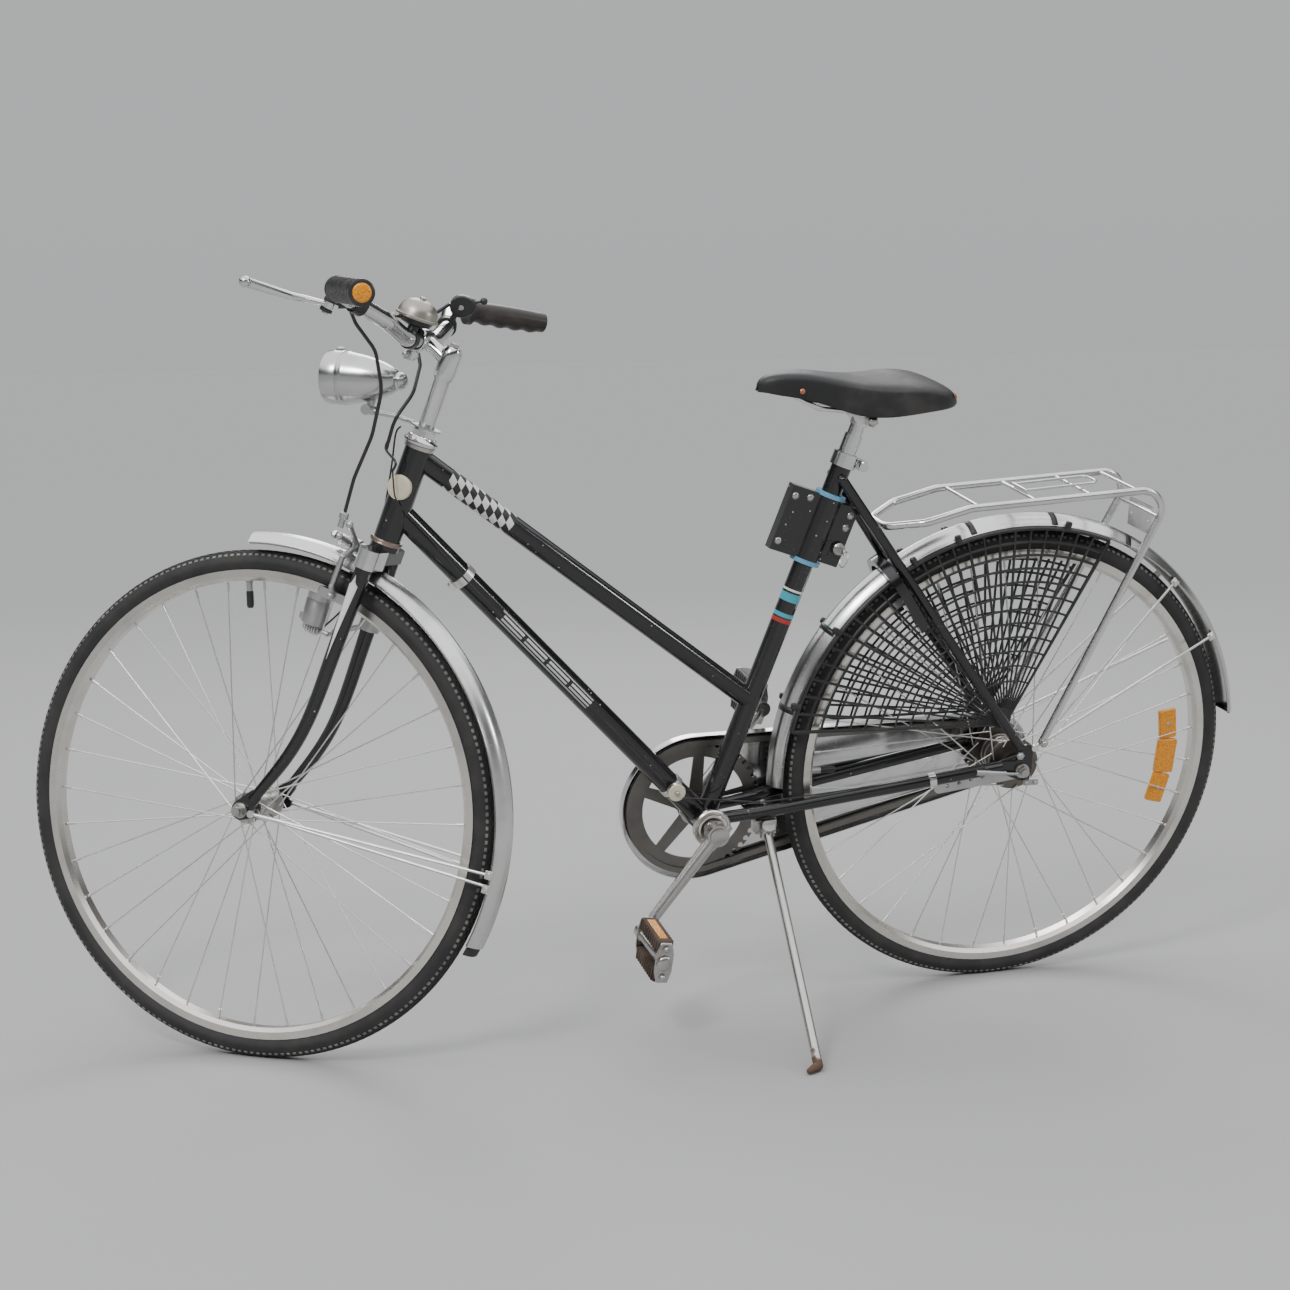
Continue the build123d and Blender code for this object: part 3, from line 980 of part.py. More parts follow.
def lowest(turn):
    """Lowest height of each tyre after a turn of the whole bicycle."""
    found = []
    tube = TYRE_SECTION / 2
    front_side = steered(FRONT_AXLE + SIDE) - steered(FRONT_AXLE)
    for centre, normal in ((REAR_AXLE, SIDE), (steered(FRONT_AXLE), front_side)):
        flat = turn(normal) - turn(Vector(0, 0, 0))
        found.append(turn(centre).Z - (TYRE_R - tube) * math.sqrt(1 - flat.Z ** 2) - tube)
    return found


def turned(point, axis, degrees):
    turn = math.radians(degrees)
    way = axis.normalized()
    along_axis = way * (way.dot(point) * (1 - math.cos(turn)))
    return point * math.cos(turn) + way.cross(point) * math.sin(turn) + along_axis


def steered(point):
    return HEAD_BASE + turned(point - HEAD_BASE, HEAD_UP, -STEER_DEG)


def stood(point, pitch):
    return turned(turned(point, Vector(1, 0, 0), LEAN_DEG), Vector(0, 1, 0), pitch)


pitch = 0.0
for _ in range(6):
    rear_low, front_low = lowest(lambda point: stood(point, pitch))
    pitch -= math.degrees((front_low - rear_low) / WHEELBASE)
rear_low, front_low = lowest(lambda point: stood(point, pitch))

to_head = Location((HEAD_BASE.X, HEAD_BASE.Y, HEAD_BASE.Z))
from_head = Location((-HEAD_BASE.X, -HEAD_BASE.Y, -HEAD_BASE.Z))
steer = to_head * Location((0, 0, 0), (HEAD_UP.X, HEAD_UP.Y, HEAD_UP.Z), -STEER_DEG) * from_head
lean_over = Location((0, 0, 0), (1, 0, 0), LEAN_DEG)
stand = Location((0, 0, -rear_low)) * Location((0, 0, 0), (0, 1, 0), pitch) * lean_over
STEERED = ("steering", "front_wheel", "brake_lever", "caliper_left", "caliper_right", "headlight", "dynamo",
           "bell_lever", "shift_lever")
placed = {}
for body, nodes in bodies.items():
    move = stand * steer if body in STEERED else stand
    for name, solids in nodes.items():
        placed[name] = Compound([solid.moved(move) for solid in solids])

box = Compound(list(placed.values())).bounding_box()
shift = Vector(-(box.min.X + box.max.X) / 2, -(box.min.Y + box.max.Y) / 2, -box.min.Z)
os.makedirs("parts", exist_ok=True)
for name, shape in placed.items():
    export_step(shape.moved(Location((shift.X, shift.Y, shift.Z))), f"parts/{name}.step")


def final(point, body):
    point = steered(point) if body in STEERED else point
    return stood(point, pitch) + Vector(0, 0, -rear_low) + shift


def tell(label, body, point, axis):
    at = final(point, body)
    way = (final(point + axis, body) - at).normalized()
    print("PLACE", label, *[f"{value:.4f}" for value in (at.X, at.Y, at.Z, way.X, way.Y, way.Z)])


print("pitch", round(pitch, 4), "lows", round(rear_low, 4), round(front_low, 4), "size", box.size)
tell("steering", "frame", HEAD_BASE, HEAD_UP)
tell("front_wheel", "steering", FRONT_AXLE, SIDE)
tell("rear_wheel", "frame", REAR_AXLE, SIDE)
tell("crank", "frame", BB, SIDE)
tell("pedal_left", "frame", pedal_axles[-1], SIDE)
tell("pedal_right", "frame", pedal_axles[1], SIDE)
tell("kickstand", "frame", stand_pivot, stand_axis)
tell("brake_lever", "steering", lever_pivot, lever_axis)
tell("caliper_left", "steering", head(arm_planes["left"], 0, bolt_up), HEAD_BACK)
tell("caliper_right", "steering", head(arm_planes["right"], 0, bolt_up), HEAD_BACK)
tell("headlight", "steering", lamp_pivot, SIDE)
tell("dynamo", "steering", dynamo_axis_point, HEAD_BACK)
tell("shift_lever", "steering", trigger_pivot, trigger_axis)
tell("bell_lever", "steering", bell_lever_pivot, bell_lever_axis)
tell("saddle", "frame", seat_top, SEAT_UP)
tell("rack_clip", "frame", clip_pivot, SIDE)
tell("rack_light", "frame", rack_light, Vector(1, 0, 0))
tell("rear_axle_left", "frame", REAR_AXLE - SIDE * 72, SIDE * -1)
tell("front_axle_left", "steering", FRONT_AXLE - SIDE * 65, SIDE * -1)
print("stand range", round(stand_range, 2), "leg length", round(leg_length, 1), "nodes", len(placed))
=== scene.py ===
import json
from math import cos, pi, radians, sin, sqrt

import bpy
from mathutils import Matrix, Vector


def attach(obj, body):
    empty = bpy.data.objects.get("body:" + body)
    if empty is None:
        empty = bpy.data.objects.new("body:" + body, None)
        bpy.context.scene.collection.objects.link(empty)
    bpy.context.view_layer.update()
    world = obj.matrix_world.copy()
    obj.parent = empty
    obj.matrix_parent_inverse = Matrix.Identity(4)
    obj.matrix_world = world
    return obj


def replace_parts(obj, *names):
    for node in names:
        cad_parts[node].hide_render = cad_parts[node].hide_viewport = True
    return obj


# A city bicycle standing on its side stand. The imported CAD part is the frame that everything
# here is built round: places are millimetres along the bicycle's own axes, read from its joints.

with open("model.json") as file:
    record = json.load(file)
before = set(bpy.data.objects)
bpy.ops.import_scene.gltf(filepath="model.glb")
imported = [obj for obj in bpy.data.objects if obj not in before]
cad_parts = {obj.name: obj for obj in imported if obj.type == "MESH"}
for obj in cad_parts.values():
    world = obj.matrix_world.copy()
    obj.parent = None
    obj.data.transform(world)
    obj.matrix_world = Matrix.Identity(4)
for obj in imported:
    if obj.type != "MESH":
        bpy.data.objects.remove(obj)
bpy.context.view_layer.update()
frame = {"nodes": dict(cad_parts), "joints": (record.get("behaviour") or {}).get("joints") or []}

MM = 0.001
LEAN = radians(9.8)
HEAD_ANGLE = radians(70.8)
SEAT_ANGLE = radians(70.6)
TYRE_R = 343.0
RIM_R = 317.0
BEAD_R = 311.0
TYRE_SECTION = 16.0
MUDGUARD_R = 367.0
MUDGUARD_DEPTH = 13.0
MUDGUARD_HALF = 22.0
PEDAL_LENGTH = 92.0
BLACK, WHITE = (0.009, 0.009, 0.01), (0.75, 0.75, 0.73)


# ---- places

class Place:
    """An origin and three axes; at() turns millimetres along them into a point."""

    def __init__(self, origin, x, y, z):
        self.origin, self.x, self.y, self.z = (Vector(part) for part in (origin, x, y, z))

    def way(self, x, y, z):
        return self.x * x + self.y * y + self.z * z

    def at(self, x, y, z):
        return self.origin + self.way(x, y, z) * MM

    def moved(self, x, y, z):
        return Place(self.at(x, y, z), self.x, self.y, self.z)

    def out(self, turn):
        """The direction at an angle round the y axis, from x towards z."""
        return self.way(cos(turn), 0, sin(turn))

    def ahead(self, turn):
        """The direction out() moves in as its angle grows."""
        return self.way(-sin(turn), 0, cos(turn))

    def tilted(self, x, z):
        """The same origin, with its x and z axes given in this place's own axes."""
        new_x, new_z = self.way(*x).normalized(), self.way(*z).normalized()
        return Place(self.origin, new_x, new_z.cross(new_x), new_z)


joints = {joint["name"]: joint for joint in frame["joints"]}


def joint_at(name):
    return Vector(joints[name]["pos_m"])


def joint_way(name):
    return Vector(joints[name]["axis"]).normalized()


head_up = joint_way("steering_turn")
side = joint_way("rear_wheel_spin")
head_back = side.cross(head_up)
back = head_up * cos(HEAD_ANGLE) + head_back * sin(HEAD_ANGLE)
up = head_up * sin(HEAD_ANGLE) - head_back * cos(HEAD_ANGLE)
bike = Place(joint_at("rear_wheel_spin") - up * TYRE_R * MM, back, side, up)
fork_side = joint_way("front_wheel_spin")
steer = Place(joint_at("steering_turn"), fork_side.cross(head_up), fork_side, head_up)
front = Place(joint_at("front_wheel_spin"), steer.way(sin(HEAD_ANGLE), 0, cos(HEAD_ANGLE)),
              fork_side, steer.way(-cos(HEAD_ANGLE), 0, sin(HEAD_ANGLE)))
rear = bike.moved(0, 0, TYRE_R)
bracket = Place(joint_at("crank_spin"), back, side, up)
seat_way = (cos(SEAT_ANGLE), 0, sin(SEAT_ANGLE))
seat = bracket.tilted((seat_way[2], 0, -seat_way[0]), seat_way)
head_point = steer.origin
top_start, top_end = head_point + head_up * 0.122, seat.at(0, 0, 183)
down_start, down_end = head_point + head_up * 0.046, bracket.origin


# ---- shader sums

class Value:
    """A shader socket that ordinary sums work on."""

    def __init__(self, finish, socket):
        self.finish, self.socket = finish, socket

    def sum(self, operation, first, second=0.0):
        return self.finish.add("Math", {"operation": operation}, {0: first, 1: second})

    def __add__(self, other):
        return self.sum("ADD", self, other)

    def __sub__(self, other):
        return self.sum("SUBTRACT", self, other)

    def __rsub__(self, other):
        return self.sum("SUBTRACT", other, self)

    def __mul__(self, other):
        return self.sum("MULTIPLY", self, other)

    __radd__ = __add__
    __rmul__ = __mul__

    def step(self, low, high):
        """0 below low, 1 above high, smooth between."""
        settings = {"interpolation_type": "SMOOTHSTEP", "clamp": True}
        return self.finish.add("MapRange", settings, {"Value": self, "From Min": low, "From Max": high})


class Finish:
    """One material. add() puts in any shader node from its settings and its inputs."""

    def __init__(self, name, color, roughness, **fixed):
        self.material = bpy.data.materials.new(name)
        self.material.use_nodes = True
        self.tree = self.material.node_tree
        self.shader = self.tree.nodes["Principled BSDF"]
        self.place = self.add("TexCoord", {}, {}, "Object")
        self.set({"Base Color": color, "Roughness": roughness, **fixed})

    def set(self, inputs, node=None):
        node = node or self.shader
        for key, value in inputs.items():
            socket = node.inputs[key]
            if isinstance(value, Value):
                self.tree.links.new(value.socket, socket)
            elif isinstance(value, tuple) and socket.type == "RGBA":
                socket.default_value = (*value, 1.0)
            else:
                socket.default_value = value
        return node

    def add(self, kind, settings, inputs, output=0):
        node = self.tree.nodes.new("ShaderNode" + kind)
        for key, value in settings.items():
            setattr(node, key, value)
        self.set(inputs, node)
        return Value(self, node.outputs[output])

    def noise(self, scale, detail=4.0, roughness=0.55):
        return self.add("TexNoise", {}, {"Vector": self.place, "Scale": scale, "Detail": detail,
            "Roughness": roughness})

    def cells(self, scale):
        return self.add("TexVoronoi", {"feature": "F1"}, {"Vector": self.place, "Scale": scale})

    def along(self, way, origin):
        """Distance in millimetres from a point along a direction."""
        parts = [self.add("SeparateXYZ", {}, {0: self.place}, axis) for axis in "XYZ"]
        total = sum((parts[index] * (way[index] / MM) for index in range(1, 3)), parts[0] * (way[0] / MM))
        return total - way.dot(origin) / MM

    def blend(self, share, first, second):
        return self.add("Mix", {"data_type": "RGBA"}, {0: share, 6: first, 7: second}, 2)

    def bump(self, height, strength, distance):
        inputs = {"Height": height, "Strength": strength, "Distance": distance * MM}
        self.set({"Normal": self.add("Bump", {}, inputs)})


def paint():
    """Gloss black lacquer with dust film and fine scuffs."""
    f = Finish("gloss_black_paint", BLACK, 0.2, **{"Coat Weight": 0.35, "Coat Roughness": 0.05})
    dust = f.noise(9, 6).step(0.5, 0.78)
    scuff = f.noise(420, 3, 0.7).step(0.62, 0.72) * f.noise(30).step(0.45, 0.7)
    scuff = scuff * 0.35 + (1 - f.cells(75).step(0.07, 0.1)) * f.noise(14, 2).step(0.5, 0.56)
    f.set({"Base Color": f.blend(scuff, f.blend(dust * 0.1, BLACK, (0.05, 0.046, 0.04)), (0.42, 0.41, 0.39)),
           "Roughness": 0.15 + dust * 0.12 + scuff * 0.3})
    f.bump(f.noise(60, 3), 0.04, 0.3)
    return f.material


def metal(name, color, roughness, rust=0.0, wear=0.12, grain=90):
    """Plated metal: uneven polish, dull film and rust specks that gather in patches."""
    f = Finish(name, color, roughness, Metallic=1.0)
    film = f.noise(grain * 0.25, 6)
    specks = f.noise(grain * 9, 5, 0.65).step(0.60, 0.66) * f.noise(grain * 0.4, 3).step(0.64 - rust * 0.35,
        0.86 - rust * 0.4)
    dull = tuple(part * 0.55 for part in color)
    f.set({"Base Color": f.blend(specks, f.blend(film.step(0.42, 0.8) * 0.5, color, dull),
        (0.13, 0.055, 0.024)), "Roughness": roughness + film * wear + specks * 0.5,
        "Metallic": 1 - specks * 0.85})
    f.bump(specks + f.noise(grain * 3, 4) * 0.15, 0.12, 0.2)
    return f.material


def rubber(name, color, dust, roughness=0.75, grain=700):
    """Matte rubber under an uneven film of dust."""
    f = Finish(name, color, roughness)
    cover = f.noise(26, 7, 0.6).step(0.35, 0.75)
    f.set({"Base Color": f.blend(cover, color, dust), "Roughness": roughness - 0.1 + cover * 0.2})
    f.bump(f.noise(grain, 3) + f.noise(60) * 0.5, 0.25, 0.25)
    return f.material


def plastic(name, color, roughness=0.35, tint=(0.1, 0.09, 0.08), grain=300):
    f = Finish(name, color, roughness)
    grime = f.noise(40, 5).step(0.48, 0.8)
    f.set({"Base Color": f.blend(grime * 0.35, color, tint), "Roughness": roughness + grime * 0.2})
    f.bump(f.noise(grain, 2), 0.08, 0.15)
    return f.material


def saddle_leather():
    """Black hide with a fine pebbled grain, polished where it is sat on."""
    f = Finish("saddle_hide", (0.016, 0.015, 0.016), 0.5)
    worn = f.noise(16, 5).step(0.45, 0.75)
    f.set({"Base Color": f.blend(worn, (0.012, 0.012, 0.013), (0.045, 0.04, 0.038)),
        "Roughness": 0.5 - worn * 0.16})
    f.bump(f.cells(900) * 0.6 + f.noise(220, 4) * 0.5, 0.35, 0.3)
    return f.material


def reflector(name, color):
    """Moulded prism cells behind a clear face."""
    f = Finish(name, color, 0.25, **{"Coat Weight": 0.25})
    cell = f.cells(420)
    f.set({"Base Color": f.blend(cell, color, tuple(part * 0.45 for part in color))})
    f.bump(cell, 0.6, 0.5)
    return f.material


def glass():
    f = Finish("lamp_glass", (0.92, 0.95, 0.95), 0.04, **{"Transmission Weight": 0.85, "IOR": 1.45})
    f.set({"Roughness": 0.03 + f.noise(60).step(0.4, 0.8) * 0.1})
    f.bump(f.add("TexWave", {}, {"Vector": f.place, "Scale": 70.0, "Distortion": 0.3}), 0.5, 0.6)
    return f.material


def stand_steel():
    """The side stand's steel, rusted towards its foot."""
    f = Finish("stand_steel", (0.5, 0.49, 0.47), 0.3, Metallic=1.0)
    low = 1 - f.along(Vector((0, 0, 1)), Vector((0, 0, 0))).step(6.0, 40.0)
    rust = (f.noise(70, 7) * 0.75 + low * 0.36).step(0.54, 0.68)
    f.set({"Base Color": f.blend(rust, (0.5, 0.49, 0.47), (0.1, 0.055, 0.035)),
        "Roughness": 0.26 + rust * 0.5, "Metallic": 1 - rust * 0.9})
    f.bump(rust + f.noise(400, 4) * 0.4, 0.25, 0.35)
    return f.material


PAINT = paint()
CHROME = metal("chrome_plate", (0.7, 0.7, 0.7), 0.09, 0.16)
OLD_CHROME = metal("pitted_chrome", (0.5, 0.49, 0.47), 0.16, 0.55, 0.2)
GUARD_STEEL = metal("mudguard_plate", (0.68, 0.68, 0.67), 0.17, 0.14, 0.16, 60)
LAMP_CHROME = metal("lamp_plate", (0.56, 0.56, 0.56), 0.15, 0.35, 0.2, 50)
ALLOY = metal("dull_alloy", (0.5, 0.5, 0.5), 0.34, 0.05, 0.15)
ZINC = metal("zinc_wire", (0.78, 0.78, 0.76), 0.28, 0.2, 0.12)
HUB_STEEL = metal("hub_steel", (0.5, 0.49, 0.47), 0.26, 0.5, 0.2)
OILED = metal("oiled_steel", (0.2, 0.19, 0.175), 0.36, 0.35, 0.2)
RIM_PLATE = metal("rim_plate", (0.72, 0.69, 0.64), 0.2, 0.2, 0.15, 60)
DARK_HUB = metal("dark_hub", (0.17, 0.15, 0.13), 0.34, 0.6, 0.2)
NICKEL = metal("weathered_nickel", (0.4, 0.375, 0.33), 0.28, 0.75, 0.22)
RUSTY = metal("rusty_cup", (0.34, 0.26, 0.21), 0.3, 0.7, 0.2)
COPPER = metal("copper_rivet", (0.45, 0.2, 0.11), 0.36, 0.05, 0.15)
STAND = stand_steel()
TYRE = rubber("tyre_rubber", (0.017, 0.017, 0.018), (0.042, 0.04, 0.037))
WORN_RUBBER = rubber("worn_tread", (0.12, 0.118, 0.112), (0.26, 0.255, 0.24))
PAD_RUBBER = rubber("pad_rubber", (0.02, 0.02, 0.02), (0.05, 0.045, 0.04))
PEDAL_RUBBER = rubber("pedal_rubber", (0.03, 0.016, 0.01), (0.1, 0.07, 0.05))
GRIP_BLACK = plastic("grip_black", (0.022, 0.021, 0.021), 0.34)
GRIP_BROWN = plastic("grip_brown", (0.021, 0.016, 0.014), 0.4)
BLACK_PLASTIC = plastic("black_plastic", (0.017, 0.017, 0.018), 0.36)
NET_PLASTIC = plastic("net_plastic", (0.02, 0.02, 0.021), 0.3)
CABLE_SKIN = plastic("cable_skin", (0.018, 0.018, 0.018), 0.3)
CREAM = plastic("cream_plastic", (0.62, 0.57, 0.42), 0.4, (0.3, 0.25, 0.16))
PALE_BLUE = plastic("pale_blue_plastic", (0.13, 0.36, 0.55), 0.4)
CYAN = plastic("cyan_transfer", (0.05, 0.36, 0.46), 0.3)
IVORY = plastic("white_transfer", WHITE, 0.3, (0.4, 0.38, 0.33))
RED = plastic("red_transfer", (0.42, 0.03, 0.025), 0.3)
SILVER = plastic("silver_transfer", (0.45, 0.46, 0.47), 0.28)
AMBER = reflector("amber_reflector", (1.0, 0.36, 0.0))
GLASS = glass()
LEATHER = saddle_leather()


# ---- mesh work

def spread(points, steps):
    """A smooth run of points through the given ones."""
    last = len(points) - 1
    result = []
    for index in range(last):
        p = [points[min(max(index + k, 0), last)] for k in (-1, 0, 1, 2)]
        for step in range(steps):
            t = step / steps
            curve = 2 * p[0] - 5 * p[1] + 4 * p[2] - p[3]
            twist = 3 * p[1] - p[0] - 3 * p[2] + p[3]
            result.append(0.5 * (2 * p[1] + (p[2] - p[0]) * t + curve * t ** 2 + twist * t ** 3))
    result.append(points[-1])
    return result


def turns(count):
    """Angles evenly round a circle."""
    return [2 * pi * k / count for k in range(count)]


class Shape:
    """Collects faces, each with the number of its finish, and makes one piece of them."""

    def __init__(self):
        self.points, self.faces, self.kinds = [], [], []

    def grid(self, rows, kind=0, wrap=False, loop=False, caps=False):
        """Faces between rows of points; wrap closes each row, loop joins the last row to the first."""
        base, width = len(self.points), len(rows[0])
        self.points += [point for row in rows for point in row]
        spans = len(rows) if loop else len(rows) - 1
        for row in range(spans):
            for column in range(width if wrap else width - 1):
                first, second = base + row * width, base + (row + 1) % len(rows) * width
                following = (column + 1) % width
                self.faces.append((first + column, first + following, second + following, second + column))
                self.kinds.append(kind(row, column) if callable(kind) else kind)
        if caps:
            for start, order in ((base, -1), (base + (len(rows) - 1) * width, 1)):
                self.faces.append(tuple(range(start, start + width))[::order])
                self.kinds.append(kind(0, 0) if callable(kind) else kind)
        return self

    def tube(self, route, radius, kind=0, sides=12, closed=False, flat=1.0):
        """A round or oval bar along a route; the radius may be a function of the share of its length."""
        rows, normal = [], None
        count = len(route)
        for index, point in enumerate(route):
            ahead = route[(index + 1) % count] if closed or index < count - 1 else point
            behind = route[index - 1] if closed or index else point
            way = (ahead - behind).normalized()
            normal = way.orthogonal() if normal is None else normal - way * normal.dot(way)
            normal.normalize()
            other = way.cross(normal)
            size = (radius(index / (count - 1)) if callable(radius) else radius) * MM
            rows.append([point + normal * (size * cos(turn)) + other * (size * flat * sin(turn))
                         for turn in turns(sides)])
        return self.grid(rows, kind, wrap=True, loop=closed, caps=not closed)

    def lathe(self, place, profile, kind=0, sides=48, start=0.0, end=360.0):
        """Turn (radius, height) points, in millimetres, about a place's z axis.

        A profile that reaches the axis stays open; any other one closes on itself."""
        closed = min(radius for radius, height in profile) > 0.02
        full = abs(end - start) >= 360
        steps = sides if full else sides + 1
        rows = []
        for step in range(steps):
            turn = radians(start + (end - start) * step / sides)
            rows.append([place.at(r * cos(turn), r * sin(turn), h) for r, h in profile])
        return self.grid(rows, kind, wrap=closed, loop=full, caps=not full and closed)

    def slab(self, place, size, kind=0, soften=0.0, outline=None):
        """A block, or a straight-sided outline, with softened edges, centred on a place."""
        x, y, z = (part / 2 for part in size)
        soften = min(soften, x * 0.9, y * 0.9, z * 0.9)
        corners = outline or [(x, -y), (x, y), (-x, y), (-x, -y)]
        rounded = []
        for index, (a, b) in enumerate(corners):
            before, after = Vector(corners[index - 1]), Vector(corners[(index + 1) % len(corners)])
            here = Vector((a, b))
            reach = max(soften, 0.05)
            rounded += [here + (before - here).normalized() * reach,
                here + (after - here).normalized() * reach]
        middle = sum(rounded, Vector((0, 0))) / len(rounded)
        rows = []
        for height, shrink in ((-z, soften), (-z + soften, 0.0), (z - soften, 0.0), (z, soften)):
            rows.append([place.at(*(p - (p - middle).normalized() * shrink), height) for p in rounded])
        return self.grid(rows, kind, wrap=True, caps=True)

    def piece(self, name, body, slot, *finishes, smooth=40, subdivide=0, solid=0.0):
        mesh = bpy.data.meshes.new(name)
        mesh.from_pydata([tuple(point) for point in self.points], [], self.faces)
        for finish in finishes:
            mesh.materials.append(finish)
        mesh.polygons.foreach_set("material_index", self.kinds)
        mesh.validate()
        mesh.update()
        piece = bpy.data.objects.new(name, mesh)
        bpy.context.scene.collection.objects.link(piece)
        for polygon in mesh.polygons:
            polygon.use_smooth = True
        bpy.context.view_layer.objects.active = piece
        piece.select_set(True)
        bpy.ops.object.mode_set(mode="EDIT")
        bpy.ops.mesh.select_all(action="SELECT")
        bpy.ops.mesh.normals_make_consistent(inside=False)
        bpy.ops.object.mode_set(mode="OBJECT")
        if not subdivide:
            bpy.ops.object.shade_smooth_by_angle(angle=radians(smooth))
        piece.select_set(False)
        if solid:
            thicken = piece.modifiers.new("thickness", "SOLIDIFY")
            thicken.thickness, thicken.offset = solid * MM, -1
        if subdivide:
            cage = piece.modifiers.new("smooth", "SUBSURF")
            cage.levels = cage.render_levels = subdivide
        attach(piece, body)
        return piece


def about_side(place):
    """A place whose z axis is the wheel's axle, for lathes; x stays pointing rearward."""
    return Place(place.origin, place.x, place.z, -place.y)


def facing(point, way, hint=(0, 0, 1)):
    """A place at a point whose z axis is a direction."""
    way = way.normalized()
    across = Vector(hint).cross(way)
    across = across.normalized() if across.length > 1e-4 else way.orthogonal().normalized()
    return Place(point, across, way.cross(across), way)


def dome(radius, height, steps=5):
    """A domed cap's outline, from its rim to its top."""
    return [(radius * cos(pi / 2 * k / steps), height * sin(pi / 2 * k / steps))
            for k in range(steps + 1)]


def domed_nut(shape, place, radius, depth, kind=0):
    """A six-sided nut with a domed cap, standing on a place's origin."""
    corners = [(radius, 0), (radius, depth * 0.55)]
    shape.lathe(place, [(0.01, 0), *corners, (radius * 0.8, depth * 0.65)], kind, sides=6)
    cap = [(r, depth * 0.6 + h) for r, h in dome(radius * 0.78, depth * 0.55)]
    return shape.lathe(place, cap, kind, sides=20)


# ---- finishes for the CAD nodes

NODE_FINISH = {
    PAINT: ("head_tube", "top_tube", "down_tube", "seat_tube", "bottom_bracket_shell", "chain_stays",
            "seat_stays", "fork", "lock_case", "ring_lock"),
    CHROME: ("crown_cover", "headset_locknut", "stem", "handlebar", "seat_clamp", "seatpost", "chain_guard"),
    RIM_PLATE: ("front_rim", "rear_rim"),
    GUARD_STEEL: ("rear_rack", "rack_clip"),
    DARK_HUB: ("rear_hub",),
    OLD_CHROME: ("bearing_cups", "crankset", "kickstand_bracket", "brake_lever"),
    ZINC: ("front_spokes", "rear_spokes", "front_mudguard_stays", "rear_mudguard_stays", "cable_clamps",
           "saddle_frame"),
    HUB_STEEL: ("front_hub", "front_axle", "rear_axle"),
    ALLOY: ("coaster_arm", "caliper_arm_left", "caliper_arm_right", "fork_brackets"),
    OILED: ("chainring", "chain"),
    STAND: ("kickstand",),
    BLACK_PLASTIC: ("control_clamps", "shift_lever"),
    CABLE_SKIN: ("control_cables", "gear_cable"),
    NICKEL: ("bell_lever",),
}
for finish, names in NODE_FINISH.items():
    for name in names:
        node = frame["nodes"][name]
        node.data.materials.clear()
        node.data.materials.append(finish)


# ---- wheels

def tyre(name, body, place, node):
    """A tyre with side walls, raised moulding lines, tread blocks and a row of dots on each side."""
    centre = TYRE_R - TYRE_SECTION
    section = TYRE_SECTION - 0.9
    profile = [(BEAD_R + 2, -8.4), (RIM_R + 1, -9.6)]
    for step in range(25):
        turn = radians(-128 + 256 * step / 24)
        swell = 0.5 if step in (3, 4, 20, 21) else 0.0
        profile.append((centre + (section + swell) * cos(turn), (section + swell) * sin(turn)))
    profile += [(RIM_R + 1, 9.6), (BEAD_R + 2, 8.4)]
    axle = about_side(place)
    shape = Shape().lathe(axle, profile, sides=144)

    def knob(turn, tilt, lift, size, kind, soften):
        out = axle.way(cos(turn), sin(turn), 0)
        normal = out * cos(tilt) + axle.z * sin(tilt)
        point = axle.origin + (out * centre + normal * (section + lift)) * MM
        ahead = axle.way(-sin(turn), cos(turn), 0)
        shape.slab(Place(point, ahead, normal.cross(ahead), normal), size, kind, soften)

    count, dots = 170, 230
    for row, (lean, long, wide) in enumerate(((0, 8.2, 3.4), (14, 7.0, 3.0), (27, 7.0, 3.0), (39, 6.0, 2.6))):
        for way in ((1,) if lean == 0 else (-1, 1)):
            for index in range(count):
                turn = 2 * pi * (index + 0.5 * (row % 2)) / count
                knob(turn, radians(lean * way), 0.2, (long, wide, 1.4), 0, 0.45)
    for way in (-1, 1):
        for turn in turns(dots):
            knob(turn, radians(50 * way), 0.1, (5.0, 3.6, 1.5), 1, 0.4)
    piece = shape.piece(name, body, "tyre_rubber", TYRE, WORN_RUBBER, smooth=35)
    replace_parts(piece, node)


def valve(name, body, place, degrees):
    """A valve's threaded stem, its lock ring and its black cap, inside the rim."""
    turn = radians(degrees)
    way = place.out(turn)
    spot = facing(place.origin + way * 0.3017, -way)
    shape = Shape().lathe(spot, [(0.01, 0), (5.2, 0), (5.2, 2.2), (4.3, 2.8), (4.3, 14), (0.01, 14)], 0, 16)
    shape.lathe(spot, [(0.01, 14), (4.7, 14), (4.9, 16), (4.9, 33), (3.6, 36.5), (0.01, 37)], 1, 16)
    shape.piece(name, body, "black_plastic", HUB_STEEL, BLACK_PLASTIC)


